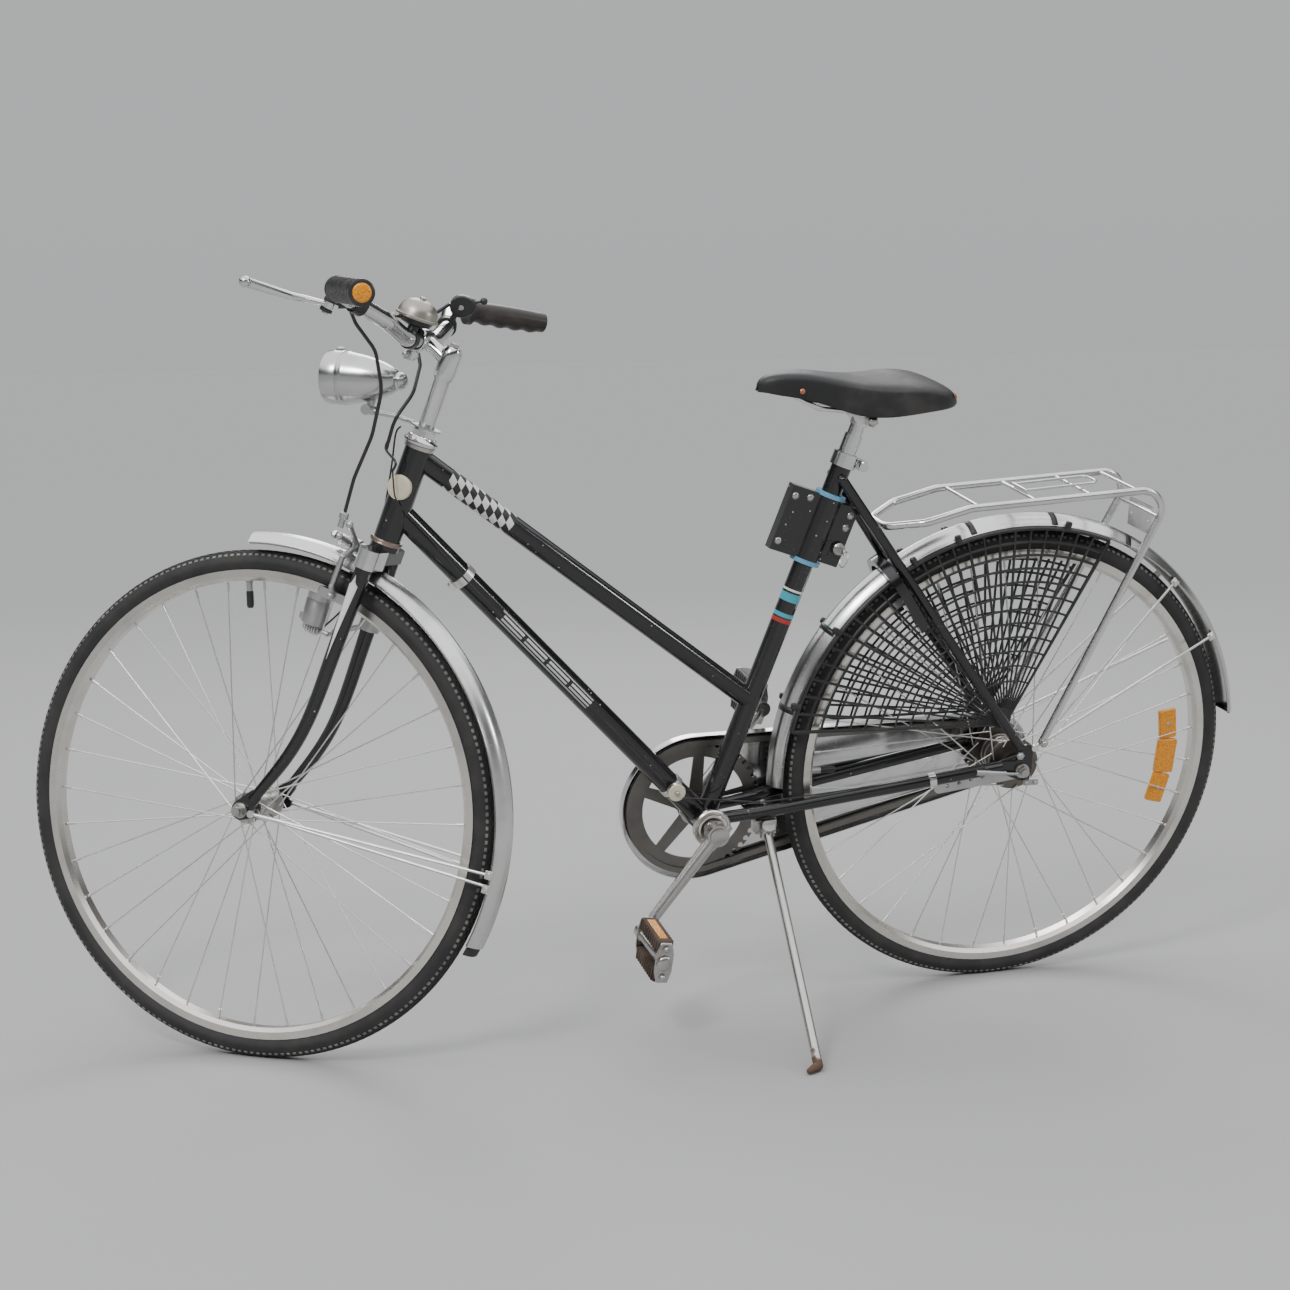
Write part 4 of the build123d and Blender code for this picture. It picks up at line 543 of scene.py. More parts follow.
def spoke_reflector(name, body, place, degrees, radius, length, width):
    """A curved amber bar in three panels clipped between spokes, with its rivets."""
    shape = Shape()
    for panel, (middle, share) in enumerate(((-0.345, 0.31), (0.0, 0.36), (0.345, 0.31))):
        turn = radians(degrees) + middle * length / radius
        out = place.out(turn)
        ahead = place.ahead(turn)
        spot = Place(place.origin + out * (radius * MM), ahead, out, ahead.cross(out))
        deep = 9.5 if panel == 1 else 8.0
        shape.slab(spot, (length * share, width + (3 if panel == 1 else 0), deep), 0, 1.8)
        if panel != 1:
            for way in (-1, 1):
                rivet = Place(spot.at(0, 0, way * deep / 2), spot.x, spot.y * way, spot.z * way)
                shape.lathe(rivet, [(3.2, -0.5), *dome(3.0, 1.4)], 1, 14)
    shape.piece(name, body, "black_plastic", AMBER, HUB_STEEL)


def hub_details(name, body, place, widths, radius):
    """Raised rings round a hub's shell."""
    axle = about_side(place)
    shape = Shape()
    for height in widths:
        foot, crest = radius - 0.5, radius + 1.3
        ring = [(foot, height - 1.6), (crest, height - 1.0), (crest, height + 1.0), (foot, height + 1.6)]
        shape.lathe(axle, ring, 0, 40)
    shape.piece(name, body, "bright_steel", HUB_STEEL)


tyre("front_tyre_tread", "front_wheel", front, "front_tyre")
tyre("rear_tyre_tread", "rear_wheel", rear, "rear_tyre")
valve("front_valve", "front_wheel", front, 94)
valve("rear_valve", "rear_wheel", rear, 180)
spoke_reflector("rear_spoke_reflector", "rear_wheel", rear, -3.5, 264, 146, 27)
hub_details("front_hub_rings", "front_wheel", front, (-14, 0, 14), 13)
hub_details("rear_hub_rings", "rear_wheel", rear, (-20, -8, 8, 20), 27.5)


# ---- mudguards

def mudguard(name, body, place, start, end, node):
    """A plated blade with rolled edges and a shallow raised band along its crown."""
    edge_r = MUDGUARD_R - MUDGUARD_DEPTH
    outer, inner = [], []
    for step in range(21):
        share = step / 20 * 2 - 1
        y = MUDGUARD_HALF * share
        r = edge_r + MUDGUARD_DEPTH * (1 - abs(share) ** 2.3)
        ridge = 1.3 * max(0.0, 1 - abs(share) * 4.2)
        outer.append((r + ridge, y))
        inner.append((r + ridge - 1.1, y * 0.955))
    roll = [(edge_r - 0.6 + 1.7 * cos(turn), MUDGUARD_HALF + 0.3 + 1.7 * sin(turn))
            for turn in (radians(60 - 50 * k) for k in range(6))]
    lip = [(r, -y) for r, y in reversed(roll)]
    profile = lip + outer[1:-1] + roll + inner[::-1][1:-1]
    shape = Shape().lathe(about_side(place), profile, sides=110, start=start, end=end)
    piece = shape.piece(name, body, "bright_steel", GUARD_STEEL, smooth=60)
    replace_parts(piece, node)


def guard_bolts(name, body, place, degrees, width):
    """Small screws where a stay meets the blade's edge, each with its clip."""
    shape = Shape()
    for turn in (radians(part) for part in degrees):
        out = place.out(turn)
        for way in (-1, 1):
            spot = Place(place.origin + (out * (MUDGUARD_R - MUDGUARD_DEPTH - 3)
                + place.y * (way * width)) * MM, place.ahead(turn), out, place.y * way)
            shape.slab(spot, (12, 10, 2.2), 0, 0.8)
            shape.lathe(spot, [(4.2, 1.0), (4.2, 2.2), (3.2, 3.4), (0.01, 3.9)], 0, 14)
    shape.piece(name, body, "bright_steel", ZINC)


mudguard("front_mudguard_blade", "steering", front, -26, 92, "front_mudguard")
mudguard("rear_mudguard_blade", "frame", rear, 8.5, 182.5, "rear_mudguard")
guard_bolts("front_mudguard_screws", "steering", front, (-9.5, -12.6), 25.5)
guard_bolts("rear_mudguard_screws", "frame", rear, (48, 30), 25.5)


def mud_flap(name, body, place, degrees):
    """A short rubber flap at the blade's lower end."""
    rows = []
    for step in range(6):
        turn = radians(degrees - step * 0.5)
        out = place.out(turn)
        rows.append([place.origin + (out * (MUDGUARD_R - 2 - 11 * abs(k / 4) ** 2.3)
            + place.y * (21 * k / 4)) * MM for k in range(-4, 5)])
    Shape().grid(rows).piece(name, body, "black_plastic", PAD_RUBBER, solid=1.6)


mud_flap("front_mudguard_end", "steering", front, -25.6)


# ---- saddle

def saddle():
    """A hide cover with a rolled crown and a skirt, riveted to its frame."""
    stations = ((-412, 5, 903, 11, 0.55), (-404, 13, 913, 20, 0.7), (-385, 20, 919, 30, 0.8),
        (-350, 27, 921, 36, 0.85), (-315, 36, 916, 41, 0.85), (-280, 49, 911, 48, 0.85), (-245, 64, 910, 48,
        0.85), (-212, 76, 912, 44, 0.85), (-182, 79, 911, 38, 0.8), (-158, 73, 905, 30, 0.75),
        (-142, 56, 896, 20, 0.7), (-135, 36, 886, 10, 0.6))
    rows = []
    for x, half, top, drop, square in stations:
        row = []
        for k in range(-8, 9):
            share = abs(k) / 8
            sign = 1 if k > 0 else -1
            if share <= 0.625:
                turn = share / 0.625
                y, z = half * sin(turn * pi / 2) ** (1 - 0.25 * square), top - 13 * turn ** 2.6
            else:
                turn = (share - 0.625) / 0.375
                y = half * (1 - 0.10 * turn)
                z = top - 13 - (drop - 13) * turn if drop > 13 else top - drop * share
            row.append(bike.at(x, y * sign if k else 0, z))
        rows.append(row)
    shape = Shape().grid(rows)
    piece = shape.piece("saddle_hide_cover", "saddle", "saddle_leather", LEATHER, subdivide=2, solid=3.2)
    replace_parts(piece, "saddle_cover")
    rivets = Shape()
    for x, y, z in ((-356, 27.5, 897), (-139, 26, 886), (-141, 44, 889), (-150, 60, 893)):
        for way in (-1, 1):
            spot = bike.at(x, way * y, z)
            out = bike.way(1 if x > -200 else -0.1, way * (0.35 if x > -200 else 1), 0.35)
            rivets.lathe(facing(spot, out), [(4.1, 0), *dome(4.0, 1.8)], 0, 20)
    rivets.piece("saddle_rivets", "saddle", "saddle_leather", COPPER)
    plate = Shape()
    plate.slab(bike.moved(-152, 0, 876).tilted((1, 0, 0.1), (-0.1, 0, 1)), (16, 104, 3.5), 0, 1.2)
    for way in (-1, 1):
        plate.tube([bike.at(-274, way * 30, 862), bike.at(-235, way * 38, 864), bike.at(-176, way * 42,
            874)], 3.2, 0, 10)
    plate.piece("saddle_under_frame", "saddle", "bright_steel", ZINC)
    clamp = Shape()
    for way in (-1, 1):
        spot = seat.moved(0, way * 34, 608)
        domed_nut(clamp, Place(spot.origin, seat.x, seat.z, seat.y * way), 9.5, 11)
    clamp.piece("saddle_clamp_nuts", "saddle", "bright_steel", OLD_CHROME)


saddle()


# ---- handlebar parts

BAR_TIP, BAR_BEND = Vector((-12, 285, 318)), Vector((-101, 178, 299))


def bar_end(way):
    """A place at the bar's end with its z axis running in along the grip."""
    tip = steer.at(BAR_TIP.x, way * BAR_TIP.y, BAR_TIP.z)
    elbow = steer.at(BAR_BEND.x, way * BAR_BEND.y, BAR_BEND.z)
    return facing(tip, elbow - tip, steer.z)


def left_grip():
    """A grip ringed along its whole length, with an amber reflector in its end."""
    place = bar_end(-1)
    profile = [(0.01, -5), (13.2, -5), (16.2, -3.5), (16.6, 2)]
    for ring in range(15):
        start = 5 + ring * 6.9
        profile += [(13.2, start), (13.2, start + 1.4), (15.9, start + 2.4), (16.1, start + 4.4),
            (15.9, start + 6.2)]
    profile += [(14.2, 110), (16.4, 111), (16.4, 114.5), (11.2, 115.5)]
    shape = Shape().lathe(place, profile, 0, 40)
    lens = [(11.6, -5.2), *[(r * 11.6, -5.2 - h) for r, h in dome(1, 2.6)]]
    shape.lathe(place, lens, 1, 32)
    piece = shape.piece("left_grip", "steering", "grip_rubber", GRIP_BLACK, AMBER)
    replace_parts(piece, "grips")


def right_grip():
    """A grip moulded to the fingers, with a collar at its inner end."""
    place = bar_end(1)
    rows = []
    for step in range(70):
        share = step / 69
        length = -5 + 120 * share
        rise = 2.3 * (0.5 - 0.5 * cos(2 * pi * 4 * min(1.0, max(0.0, (share - 0.06) / 0.8))))
        radius = 13.4 + 1.6 * sin(pi * share)
        if share > 0.93:
            radius, rise = 19.0, 0.0
        row = []
        for turn in turns(32):
            finger = max(0.0, -sin(turn)) * rise
            row.append(place.at((radius + finger) * cos(turn), (radius + finger) * sin(turn), length))
        rows.append(row)
    shape = Shape().grid(rows, wrap=True, caps=True)
    shape.piece("right_grip", "steering", "grip_rubber", GRIP_BROWN, smooth=50)


def bell():
    """A domed bell with a stepped rim, a small crown nut and its base."""
    base = steer.moved(-49, -31, 279)
    shape = Shape().lathe(base, [(9, 0), (20, 3.5), (23.5, 10), (22, 12), (0.01, 12)], 0, 36)
    cup = [(25.5, 10.2), (28.0, 10.6), (28.2, 13.4), (26.6, 14.4)]
    cup += [(26.2 * cos(a) ** 0.8, 14.4 + 21 * sin(a)) for a in (radians(8 + 9 * k) for k in range(9))]
    shape.lathe(base, cup + [(4.6, 35.5), (4.2, 38.2), (0.01, 39)], 1, 56)
    shape.lathe(base, [(25.0, 10.4), (24, 14), (12, 30), (0.01, 33)], 1, 40)
    piece = shape.piece("bell_dome", "steering", "bell_nickel", BLACK_PLASTIC, NICKEL)
    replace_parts(piece, "bell")


LAMP_WAY = Vector((-1, 0, 0.03))


def headlight():
    """A bullet lamp: drawn shell, beaded rim, reflector bowl, lens and its swivel lug."""
    rear_point = steer.at(-49, 0, 205)
    way = front.way(*LAMP_WAY).normalized()
    lamp = facing(rear_point, way, fork_side)
    shell = [(0.01, -3), (5, -2.4), (9, 0), (11.2, 4), (11.6, 8), (10.8, 10.5), (13.8, 12), (18.2, 19),
        (22.6, 28), (26.8, 40), (29.9, 52), (32.2, 64), (34.0, 75), (34.4, 79), (35.4, 80), (35.4, 84),
        (34.6, 85), (35.4, 86.5), (35.6, 103), (34.6, 107), (31.6, 108.2), (30.8, 106)]
    shape = Shape().lathe(lamp, shell, 0, 64)
    shape.lathe(lamp, [(31, 106), (29, 98), (24, 88), (15, 79), (5, 75), (5, 90), (3, 93), (0.01, 94)], 0, 48)
    lens = [(31.2, 106.0)] + [(31.0 * cos(a), 106.2 + 4.6 * sin(a)) for a in (radians(15 * k)
        for k in range(1, 7))]
    glass_face = Shape().lathe(lamp, lens, 0, 48)
    shape.lathe(facing(lamp.at(0, 0, 93) + front.z * 0.0355, front.z), [(6, 0), (6, 2), (3.5, 4.5),
        (0.01, 4.8)], 0, 20)
    pivot = joint_at("headlight_tilt")
    swivel = facing(pivot, fork_side)
    shape.lathe(swivel, [(2.7, -6), (6.5, -6), (6.5, 6), (2.7, 6)], 1, 28)
    shape.tube([pivot + steer.z * 0.0055, pivot + steer.z * 0.028], 5.2, 1, 16)
    piece = shape.piece("headlight_shell", "headlight", "chrome_trim", LAMP_CHROME, ALLOY)
    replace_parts(piece, "headlight")
    glass_face.piece("headlight_lens", "headlight", "chrome_trim", GLASS)


def dynamo():
    """A bottle dynamo: ribbed drum, shoulder, roller and hinge lug."""
    pivot = joint_at("dynamo_swing")
    way = steer.way(-0.05, 0, 1).normalized()
    spot = facing(pivot + way * 0.004, way, steer.y)
    shape = Shape().lathe(spot, [(0.01, 0), (14, 0), (17.2, 2), (17.8, 5), (17.8, 34), (17.2, 35),
        (17.2, 37), (17.8, 38), (17.8, 52), (16.4, 57), (11, 59.5), (10.8, 68), (7.2, 70.5)], 0, 48)
    roller = [(3, 70.5), (8, 71)]
    for ring in range(9):
        roller += [(8, 72 + ring * 1.5), (7.3, 72.6 + ring * 1.5)]
    shape.lathe(spot, roller + [(7.4, 86), (4, 87.6), (0.01, 88)], 1, 28)
    lug = facing(pivot, steer.x)
    shape.lathe(lug, [(3.15, -12), (6, -12), (6, 12), (3.15, 12)], 0, 24)
    shape.slab(spot.moved(-12, 0, 8), (20, 9, 12), 0, 2)
    spring = [lug.at(8.4 * cos(t), 8.4 * sin(t), -9 + 18 * t / (10 * pi)) for t in (k * pi / 6
        for k in range(61))]
    shape.tube(spring, 1.0, 2, 8)
    piece = shape.piece("dynamo_bottle", "dynamo", "dynamo_alloy", ALLOY, BLACK_PLASTIC, ZINC)
    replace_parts(piece, "dynamo")


def stem():
    """A forged neck that sweeps forward into the bar's clamp, with its bolts."""
    shape = Shape()
    quill = [(11, 60), (11, 224), (11.6, 225), (13.2, 228), (14.0, 236), (14.2, 258), (13.4, 265),
        (10.6, 269.5), (0.01, 271)]
    shape.lathe(steer, quill, 0, 40)
    neck = [steer.at(0, 0, 250), steer.at(-14, 0, 256), steer.at(-30, 0, 261), steer.at(-46, 0, 262)]
    shape.tube(spread(neck, 8), lambda share: 12.6 - 1.6 * sin(pi * share), 0, 28, flat=0.86)
    clamp = facing(steer.at(-48, 0, 262), fork_side)
    shape.lathe(clamp, [(11.1, -19), (14.6, -19), (16.4, -17), (17.0, -10), (17.0, 10), (16.4, 17),
        (14.6, 19), (11.1, 19)], 0, 48)
    for way in (-1, 1):
        shape.slab(steer.moved(-54, way * 5.2, 242), (13, 8, 17), 0, 2.4)
    domed_nut(shape, facing(steer.at(-54, -9, 240), -fork_side), 6.6, 8, 1)
    shape.lathe(facing(steer.at(-54, 9, 240), fork_side), [(0.01, 0), (5.8, 0), (5.8, 4), (4.6, 5.2),
        (0.01, 5.2)], 1, 20)
    top = steer.moved(0, 0, 270.6)
    shape.lathe(top, [(6.4, 0), (6.4, 4.0), (5.4, 5.0), (0.01, 5.0)], 1, 6)
    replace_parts(shape.piece("stem_neck", "steering", "chrome_trim", CHROME, HUB_STEEL), "stem")


def headset_rings():
    """The headset's flared bowl and dark seal above the head tube, and the rusty cup below it."""
    shape = Shape().lathe(steer, [(16.2, 138.2), (22.6, 138.4), (23.4, 140.4), (22.8, 142.6), (20.2, 144.4),
        (18.4, 148.4), (16.2, 149.0)], 0, 48)
    shape.lathe(steer, [(16.0, 136.6), (20.4, 136.6), (20.4, 138.2), (16.0, 138.2)], 1, 48)
    shape.piece("headset_bowl", "steering", "chrome_trim", CHROME, RUSTY)
    lower = Shape().lathe(steer, [(18.2, 6.2), (21.2, 5.8), (22.0, 3.6), (21.4, 0.8), (21.15, 0.4),
        (21.05, 5.2)], 0, 48)
    lower.piece("lower_cup_ring", "frame", "chrome_trim", RUSTY)


def brake_lever():
    """A forged blade that curves along the grip to a ball end."""
    pivot = joint_at("brake_lever_pull")
    axis = joint_way("brake_lever_pull")
    tip, knee = steer.at(-186, -234, 272), steer.at(-144, -186, 272)
    shape = Shape()
    route = spread([pivot, pivot.lerp(knee, 0.6) + steer.x * -0.004, knee, knee.lerp(tip, 0.5), tip], 10)
    rows = []
    for index, point in enumerate(route):
        share = index / (len(route) - 1)
        way = (route[min(index + 1, len(route) - 1)] - route[max(index - 1, 0)]).normalized()
        across = axis.cross(way).normalized()
        tall, thick = 3.9 + 2.6 * share, 6.2 - 2.9 * share
        rows.append([point + axis * (tall * MM * sin(turn)) + across * (thick * MM * cos(turn))
                     for turn in turns(18)])
    shape.grid(rows, wrap=True, caps=True)
    end = facing(tip, tip - knee)
    shape.lathe(end, [(7.4 * cos(a), 7.4 * sin(a)) for a in (radians(-90 + 15 * k) for k in range(13))], 0,
        28)
    hinge = facing(pivot, axis)
    shape.lathe(hinge, [(3.1, -4), (7.4, -4), (7.4, 4), (3.1, 4)], 0, 28)
    shape.slab(hinge, (10, 7, 7.6), 0, 1.5)
    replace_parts(shape.piece("brake_blade", "brake_lever", "bright_steel", CHROME), "brake_lever")
    bolt = Shape()
    domed_nut(bolt, facing(pivot + axis * 0.009, axis), 5.0, 5, 0)
    bolt.lathe(facing(pivot - axis * 0.009, -axis), [(4.4, 0), (4.4, 2.4), (0.01, 2.8)], 0, 20)
    bolt.piece("brake_pivot_bolt", "steering", "bright_steel", HUB_STEEL)


def shifter_cover():
    """A tear-drop cover on the gear trigger, with its screw."""
    pivot = joint_at("shift_lever_turn")
    axis = joint_way("shift_lever_turn")
    shape = Shape()
    face = facing(pivot + axis * -0.0042, -axis)
    outline = [(15.2 * cos(a) * (1.0 + 0.24 * max(0.0, cos(a))), 14.6 * sin(a))
               for a in turns(40)]
    rows = []
    for shrink, height in ((1.0, -9.0), (1.03, -4.0), (1.03, 0.6), (0.95, 2.4), (0.7, 3.4), (0.3, 3.8),
        (0.02, 3.9)):
        rows.append([face.at(x * shrink, y * shrink, height) for x, y in outline])
    shape.grid(rows, wrap=True, caps=True)
    shape.lathe(face.moved(0, 0, 3.4), [(3.4, 0), (3.4, 1.6), (2.4, 2.2), (0.01, 2.2)], 1, 20)
    shape.piece("shifter_cover", "steering", "black_plastic", BLACK_PLASTIC, HUB_STEEL)


left_grip()
right_grip()
stem()
headset_rings()
brake_lever()
shifter_cover()
bell()
headlight()
dynamo()


# ---- brakes

def brake_shoes():
    """A rubber block in a pressed holder at the foot of each caliper arm."""
    pad_up = RIM_R - 6 - 399
    for name, back_by, long, way in (("left", -36, 46, -1), ("right", -40, 34, 1)):
        shape = Shape()
        shape.slab(steer.moved(back_by, way * 19.6, pad_up), (long, 7.6, 10.5), 0, 2.0)
        shape.slab(steer.moved(back_by, way * 24.4, pad_up), (long - 4, 3.6, 12.5), 1, 1.2)
        domed_nut(shape, facing(steer.at(back_by, way * 29.5, pad_up), fork_side * way), 5.0, 4, 1)
        shape.piece(name + "_brake_shoe", "caliper_" + name, "bright_steel", PAD_RUBBER, ALLOY)


def brake_fittings():
    """The barrel adjuster, the cable's clamp bolt and the centre bolt's domed nut."""
    shape = Shape()
    spot = steer.moved(-48, -45, 12)
    shape.lathe(spot, [(3, -8), (4.2, -8), (4.2, 3), (6.2, 4), (6.2, 11), (4.6, 12.5), (2.6, 13)], 0, 20)
    shape.piece("brake_adjuster", "caliper_left", "bright_steel", ALLOY)
    clamp = Shape()
    domed_nut(clamp, facing(steer.at(-50.5, -42, -8), -steer.x), 5.4, 7)
    clamp.piece("brake_cable_bolt", "caliper_right", "bright_steel", ALLOY)
    centre = Shape()
    domed_nut(centre, facing(steer.at(-56.8, 0, -19), -steer.x), 8.0, 9)
    centre.piece("brake_centre_nut", "steering", "bright_steel", OLD_CHROME)


brake_shoes()
brake_fittings()


# ---- pedals and crank

def pedal(name, body, way, rubber_finish, lens):
    """Two ridged rubber blocks between steel end plates, with reflectors and domed nuts."""
    inner = Place(joint_at(body + "_spin"), bike.way(0.995, 0, -0.0995), bike.y * way, bike.way(0.0995, 0,
        0.995))
    shape = Shape()
    for up_by in (-1, 1):
        block = inner.moved(0, PEDAL_LENGTH / 2, up_by * 21.5)
        shape.slab(block, (22, PEDAL_LENGTH - 8.5, 17), 0, 2.2)
        for ridge in range(9):
            spot = block.moved(0, -PEDAL_LENGTH / 2 + 12 + ridge * 8.5, 0)
            shape.slab(spot, (26, 4.6, 15.5), 0, 1.0)
        shape.slab(block.moved(0, 0, up_by * 8.3), (11, 62, 1.6), 2, 0.5)
    for at in (1.5, PEDAL_LENGTH - 1.5):
        plate = Place(inner.at(0, at, 0), inner.z, inner.x, inner.y)
        outline = [(29, -8), (29, 8), (13, 12.5), (-13, 12.5), (-29, 8), (-29, -8), (-13, -12.5), (13, -12.5)]
        shape.slab(plate, (58, 24, 3.0), 1, 0.9, outline)

    def turned(length, up_by=0.0):
        return Place(inner.at(0, length, up_by), inner.x, inner.z, inner.y)

    outer = turned(PEDAL_LENGTH - 0.2)
    shape.lathe(outer, [(10.6, 0), (10.6, 3.4), (8.8, 5.4), (3, 6.4), (0.01, 6.5)], 1, 28)
    for up_by in (-20.5, 20.5):
        domed_nut(shape, turned(PEDAL_LENGTH - 0.3, up_by), 5.4, 5.6, 1)
    far = PEDAL_LENGTH - 4
    barrel = [(5.3, 1), (11, 1), (11, 6), (8.6, 9), (8.6, PEDAL_LENGTH - 8), (11, far), (5.3, far)]
    shape.lathe(turned(0), barrel, 1, 28)
    piece = shape.piece(name, body, "grip_rubber", rubber_finish, OLD_CHROME, lens)
    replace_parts(piece, body)


pedal("left_pedal_blocks", "pedal_left", -1, PEDAL_RUBBER, AMBER)
pedal("right_pedal_blocks", "pedal_right", 1, GRIP_BLACK, BLACK_PLASTIC)


def crank_cups():
    """Stepped lock rings and a rusty lining round the crank's axle, end caps and the cable pulley's disc."""
    spot = facing(bracket.at(0, -39.2, 0), -bracket.y)
    shape = Shape().lathe(spot, [(21.0, 0), (27.3, 0), (27.3, 1.6), (25.6, 3.2), (23.4, 3.2), (22.6, 1.8),
        (21.0, 1.8)], 0, 48)
    shape.lathe(spot, [(17.4, 1.2), (20.6, 1.2), (20.6, 4.4), (19.6, 5.2), (17.4, 5.2)], 0, 48)
    shape.lathe(spot, [(9.2, 0.6), (17.4, 0.6), (17.4, 1.4), (9.2, 1.4)], 1, 40)
    shape.lathe(spot, [(9.2, 1.4), (12.2, 1.4), (12.2, 6.2), (11.4, 7.0), (9.2, 7.0)], 2, 40)
    shape.piece("crank_dust_ring", "frame", "chrome_trim", RIM_PLATE, RUSTY, OLD_CHROME)
    covers = Shape()
    for way in (-1, 1):
        covers.lathe(facing(bracket.at(0, way * 71.2, 0), bracket.y * way), [(12, 0), (12, 1.6), (8, 3.2),
            (0.01, 3.6)], 0, 32)
    covers.piece("crank_end_caps", "crank", "chrome_trim", OLD_CHROME)
    hub = down_start.lerp(down_end, 0.885) - bike.y * 0.0296
    disc = facing(hub, -bike.y)
    pulley = Shape().lathe(disc, [(3, 0), (11.8, 0), (12.6, 0.8), (11.4, 1.9), (5.2, 2.1), (3, 2.1)], 0, 36)
    domed_nut(pulley, disc.moved(0, 0, 1.8), 4.2, 4.2, 1)
    pulley.piece("cable_pulley_face", "frame", "bright_steel", CREAM, HUB_STEEL)


def dropout_fittings():
    """The chain adjuster's screw, the stay's eye bolt and the gear chain's sleeve by the left drop-out."""
    shape = Shape()
    eye = TYRE_R
    shape.tube([bike.at(-74, -64, eye + 4), bike.at(-28, -64, eye - 1)], 4.2, 0, 14)
    shape.tube([bike.at(-28, -64, eye - 1), bike.at(-6, -64, eye - 3)], 2.2, 0, 10)
    domed_nut(shape, facing(bike.at(-6, -61, eye + 24), -bike.y), 6.0, 5, 0)
    shape.slab(bike.moved(14, -62.4, eye - 18), (24, 2.4, 8), 0, 1.0)
    for x in (6, 20):
        domed_nut(shape, facing(bike.at(x, -63.6, eye - 18), -bike.y), 3.6, 3, 0)
    shape.piece("left_dropout_fittings", "frame", "bright_steel", ALLOY)


crank_cups()
dropout_fittings()


# ---- skirt guards

GUARD_APEX = (-21.0, 34.0, 405.0)
GUARD_SPAN = (61.4, 178.8)
GUARD_RIBS, GUARD_ARCS = 25, 13


def guard_reach(degrees):
    way = Vector((cos(radians(degrees)), sin(radians(degrees))))
    offset = Vector((GUARD_APEX[0], GUARD_APEX[2] - TYRE_R))
    outer = MUDGUARD_R - MUDGUARD_DEPTH - 4
    along = way.dot(offset)
    return -along + sqrt(along * along - offset.dot(offset) + outer * outer)


def skirt_guard(name, way, node):
    """A fan of thin ribs crossed by arcs, with a rim along the mudguard and clips on it."""
    def spot(degrees, share, lift=0.0):
        turn, reach = radians(degrees), guard_reach(degrees) * share
        inward = 10.0 * share
        return bike.at(GUARD_APEX[0] + reach * cos(turn), way * (GUARD_APEX[1] - inward + lift),
                       GUARD_APEX[2] + reach * sin(turn))

    shape = Shape()
    low, high = GUARD_SPAN
    for rib in range(GUARD_RIBS):
        degrees = low + (high - low) * rib / (GUARD_RIBS - 1)
        thick = 3.0 if rib in (0, GUARD_RIBS - 1) else 2.2
        shape.tube([spot(degrees, 0.05), spot(degrees, 0.5), spot(degrees, 0.995)],
                   lambda share, thick=thick: thick * (0.6 + 0.4 * share), 0, 6)
    for arc in range(GUARD_ARCS):
        share = 0.14 + 0.86 * (arc / (GUARD_ARCS - 1)) ** 0.92
        thick = 3.2 if arc == GUARD_ARCS - 1 else 1.2 + 1.0 * share
        route = [spot(low + (high - low) * step / 60, share) for step in range(61)]
        shape.tube(route, thick, 0, 6)
    hub_plate = facing(spot((low + high) / 2, 0.045), bike.y * way)
    shape.lathe(hub_plate, [(3, -1.6), (15, -1.6), (16, 0), (15, 1.6), (3, 1.6)], 0, 28)
    for degrees in (75, 108, 122, 150, 172):
        point = spot(degrees, 1.0)
        out = (point - spot(degrees, 0.9)).normalized()
        clip = Place(point + out * 0.005, bike.y.cross(out), bike.y, out)
        shape.slab(clip, (9, 7, 15), 0, 1.4)
    piece = shape.piece(name, "frame", "black_plastic", NET_PLASTIC, smooth=50)
    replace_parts(piece, node)


skirt_guard("left_skirt_net", -1, "skirt_guard_left")
skirt_guard("right_skirt_net", 1, "skirt_guard_right")


# ---- rack and lock fittings

def rack_fittings():
    """Nuts at the rack's feet and black straps that hold the skirt guards to the mudguard."""
    shape = Shape()
    for way in (-1, 1):
        foot = bike.at(22, way * 75.8, TYRE_R + 46)
        domed_nut(shape, facing(foot, bike.y * way), 6.2, 6)
    shape.piece("rack_foot_nuts", "frame", "bright_steel", HUB_STEEL)
    straps = Shape()
    for degrees in (64, 84, 104, 124, 144, 164):
        turn = radians(degrees)
        out = rear.out(turn)
        rows = []
        for step in range(17):
            share = (step - 8) / 8
            reach = 368.2 - 13.6 * share * share
            rows.append((out * (reach * MM) + side * (22.9 * share * MM)))
        ahead = rear.ahead(turn) * 0.0045
        straps.grid([[rear.origin + point + ahead * way for point in rows] for way in (-1, 1)])
    straps.piece("guard_straps", "frame", "black_plastic", BLACK_PLASTIC, solid=0.7)


